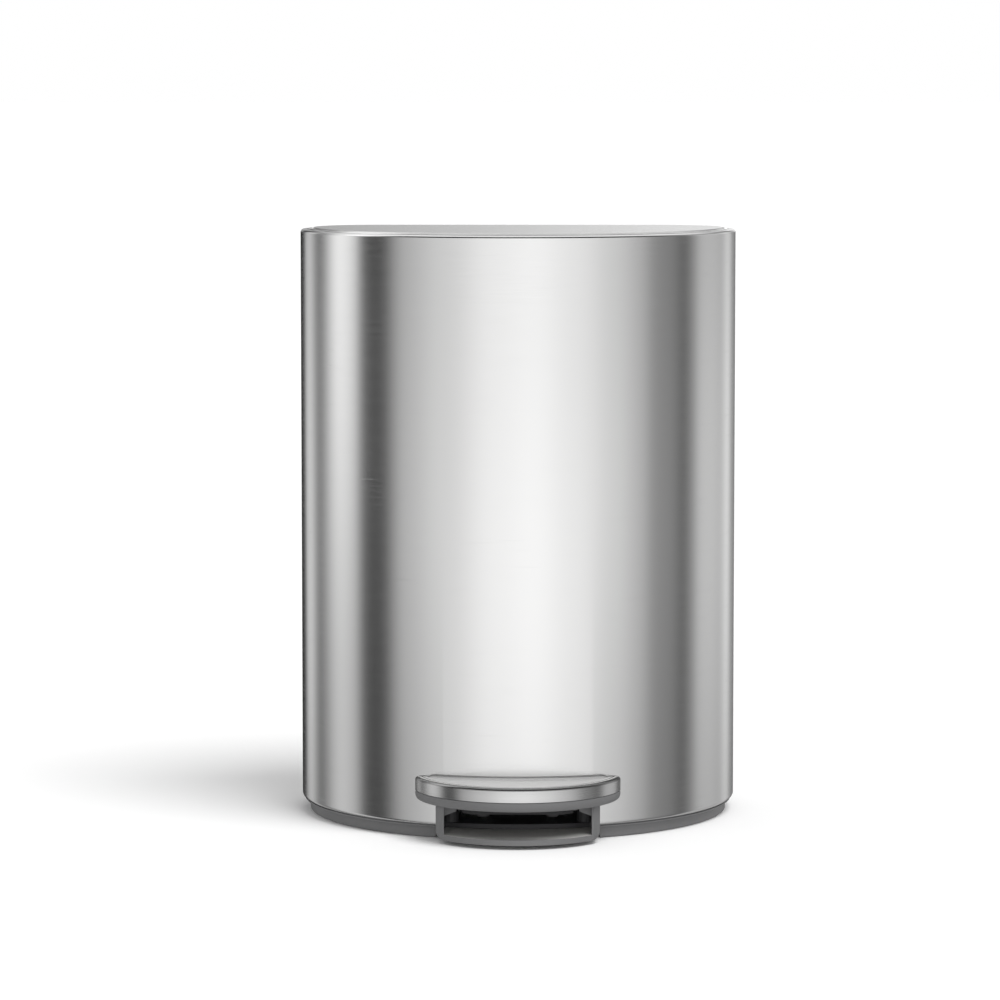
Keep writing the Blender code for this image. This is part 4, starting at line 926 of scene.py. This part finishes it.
def spread(name, item, mat, places):
    """Copies an item to places, each of them a point and whether the copy is turned over."""
    mesh = bpy.data.meshes.new(name)
    mesh.from_pydata([point for point, over in places], [], [])
    facing = mesh.attributes.new("facing", "FLOAT_VECTOR", "POINT")
    for i, (point, over) in enumerate(places):
        facing.data[i].vector = (pi if over else 0, 0, 0)
    obj = bpy.data.objects.new(name, mesh)
    scene.collection.objects.link(obj)
    give(obj.modifiers.new("copies", "NODES"), copies, Item=item, Material=mat)
    return settle(obj)


def turned(name, line, mat):
    """A body turned about the upright axis from (radius, height) points, bottom to top."""
    least = 0.05 * MM
    rings = [(circle(0, 0, max(r, least), steps=48), z) for r, z in line]
    obj = loft(name, [[(x, y, z) for x, y in ring] for ring, z in rings], mat)
    obj.data.transform(Matrix.Translation((0, -axis_y, 0)))
    return obj


def zinc_plated():
    mat, shader, place = new_material("zinc_plate", metallic=1.0)
    crystal = place.noise(240.0, detail=4.0)
    stain = place.noise(30.0, detail=3.0)
    wear = edge_wear(place, width=0.3 * MM)
    tone = (crystal * 0.6 + stain * 0.4 + wear * 0.3 - 0.1).clamped()
    deep, pale = (0.4, 0.41, 0.42, 1), (0.56, 0.56, 0.55, 1)
    place.put(tone.mixed(deep, pale), shader.inputs["Base Color"])
    place.put(crystal * 0.18 + 0.3, shader.inputs["Roughness"])
    bump(shader, crystal, strength=0.2, distance=0.02 * MM)
    return mat


def black_coated():
    mat, shader, place = new_material("black_coat")
    shader.inputs["Specular IOR Level"].default_value = 0.25
    speck = place.noise(700.0, detail=3.0)
    cloud = place.noise(40.0, detail=2.0)
    wear = edge_wear(place, width=0.25 * MM)
    tone = (speck * 0.5 + cloud * 0.4 + wear * 0.4 - 0.1).clamped()
    deep, pale = (0.016, 0.016, 0.017, 1), (0.045, 0.045, 0.046, 1)
    place.put(tone.mixed(deep, pale), shader.inputs["Base Color"])
    place.put(speck * 0.2 + 0.55, shader.inputs["Roughness"])
    bump(shader, speck, strength=0.2, distance=0.02 * MM)
    return mat


zinc = zinc_plated()
black = black_coated()
head_r = 2.9 * MM
head_h = 1.6 * MM
shank_r = 1.5 * MM
core_r = shank_r - 0.18 * MM
pitch = 0.7 * MM
tip = 1.5 * MM
slot_half = (4 * MM, 0.4 * MM)
slot_deep = 0.7 * MM


def screw_item(name, length):
    """The head's outer face is at the origin, the shank points up."""
    line = [(0, 0), (head_r * 0.75, 0.08 * MM), (head_r * 0.93, 0.35 * MM)]
    line += [(head_r, head_h / 2), (head_r, head_h), (core_r, head_h)]
    z = head_h + pitch / 2
    while z < length - tip - pitch:
        line += [(core_r, z), (shank_r, z + pitch * 0.35), (core_r, z + pitch * 0.7)]
        z += pitch
    line += [(core_r, length - tip), (0, length)]
    item = turned(name, line, zinc)
    slot = block("slot", (-slot_half[0], -slot_half[1], -MM), (*slot_half, slot_deep))
    slot.data.transform(Matrix.Translation((0, -axis_y, 0)))
    return shape(item, slot)


def places_of(names, over=False):
    places = []
    for name in names:
        low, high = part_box(name)
        point = ((low.x + high.x) / 2, (low.y + high.y) / 2, high.z if over else low.z)
        places.append((point, over))
    return places


zinc_slot, black_slot = "zinc_plated_steel", "black_coated_steel"
for kind, names, over, mat, body, slot in (
        ("base_screws", [f"base_screw_{n + 1}" for n in range(4)], False, zinc, "frame", zinc_slot),
        ("housing_screws", [f"housing_screw_{side}" for side in sides], False, zinc, "frame", zinc_slot),
        ("bracket_screws", [f"bracket_screw_{side}" for side in sides], True, zinc, "frame", zinc_slot),
        ("hinge_screws", [f"hinge_screw_{side}" for side in sides], True, zinc, "frame", zinc_slot),
        ("lever_screws", [f"pedal_screw_{side}" for side in sides], False, black, "pedal", black_slot)):
    low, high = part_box(names[0])
    item = screw_item(kind + "_item", high.z - low.z)
    stands_for(spread(kind, item, mat, places_of(names, over)), body, slot, *names)
    bpy.data.objects.remove(item, do_unlink=True)


# Rubber feet: round pads with a chamfered foot and three raised grip rings.
rubber = moulded("soft_rubber", (0.045, 0.045, 0.046), roughness=0.8, grain=500.0, wear_level=0.1)
foot_low, foot_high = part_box("foot_front_left")
foot_half = (foot_high.x - foot_low.x) / 2
grip_deep = 0.25 * MM
grip_foot, grip_root = 0.3 * MM, 0.5 * MM
foot_line = [(0, grip_deep)]
for share in (0.3, 0.52, 0.74):
    r = foot_half * share
    foot_line += [(r - grip_root, grip_deep), (r - grip_foot, 0)]
    foot_line += [(r + grip_foot, 0), (r + grip_root, grip_deep)]
foot_line += [(foot_half - 1.1 * MM, grip_deep), (foot_half - 0.8 * MM, 0)]
foot_line += [(foot_half - 0.25 * MM, 0.5 * MM), (foot_half, 1.2 * MM)]
foot_line += [(foot_half, foot_high.z), (0, foot_high.z)]
foot_item = turned("foot_item", foot_line, rubber)
feet = [f"foot_{end}_{side}" for end in ("front", "rear") for side in sides]
stands_for(spread("feet", foot_item, rubber, places_of(feet)), "frame", "grey_rubber", *feet)
bpy.data.objects.remove(foot_item, do_unlink=True)


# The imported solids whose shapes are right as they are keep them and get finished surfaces.
def repaint(mat, *names):
    for name in names:
        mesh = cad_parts[name].data
        if not mesh.materials:
            mesh.materials.append(mat)
        for i in range(len(mesh.materials)):
            mesh.materials[i] = mat


repaint(dark, "bottom_plate", "rod_guide", "lid_liner")
repaint(zinc, "pedal_axle", "axle_bracket_left", "axle_bracket_right", "lift_rod", "foot_pin",
        "crank_pin", "hinge_block", "hinge_pin")
repaint(black, "pedal_lever")
repaint(rubber, "lid_bumper_left", "lid_bumper_right")
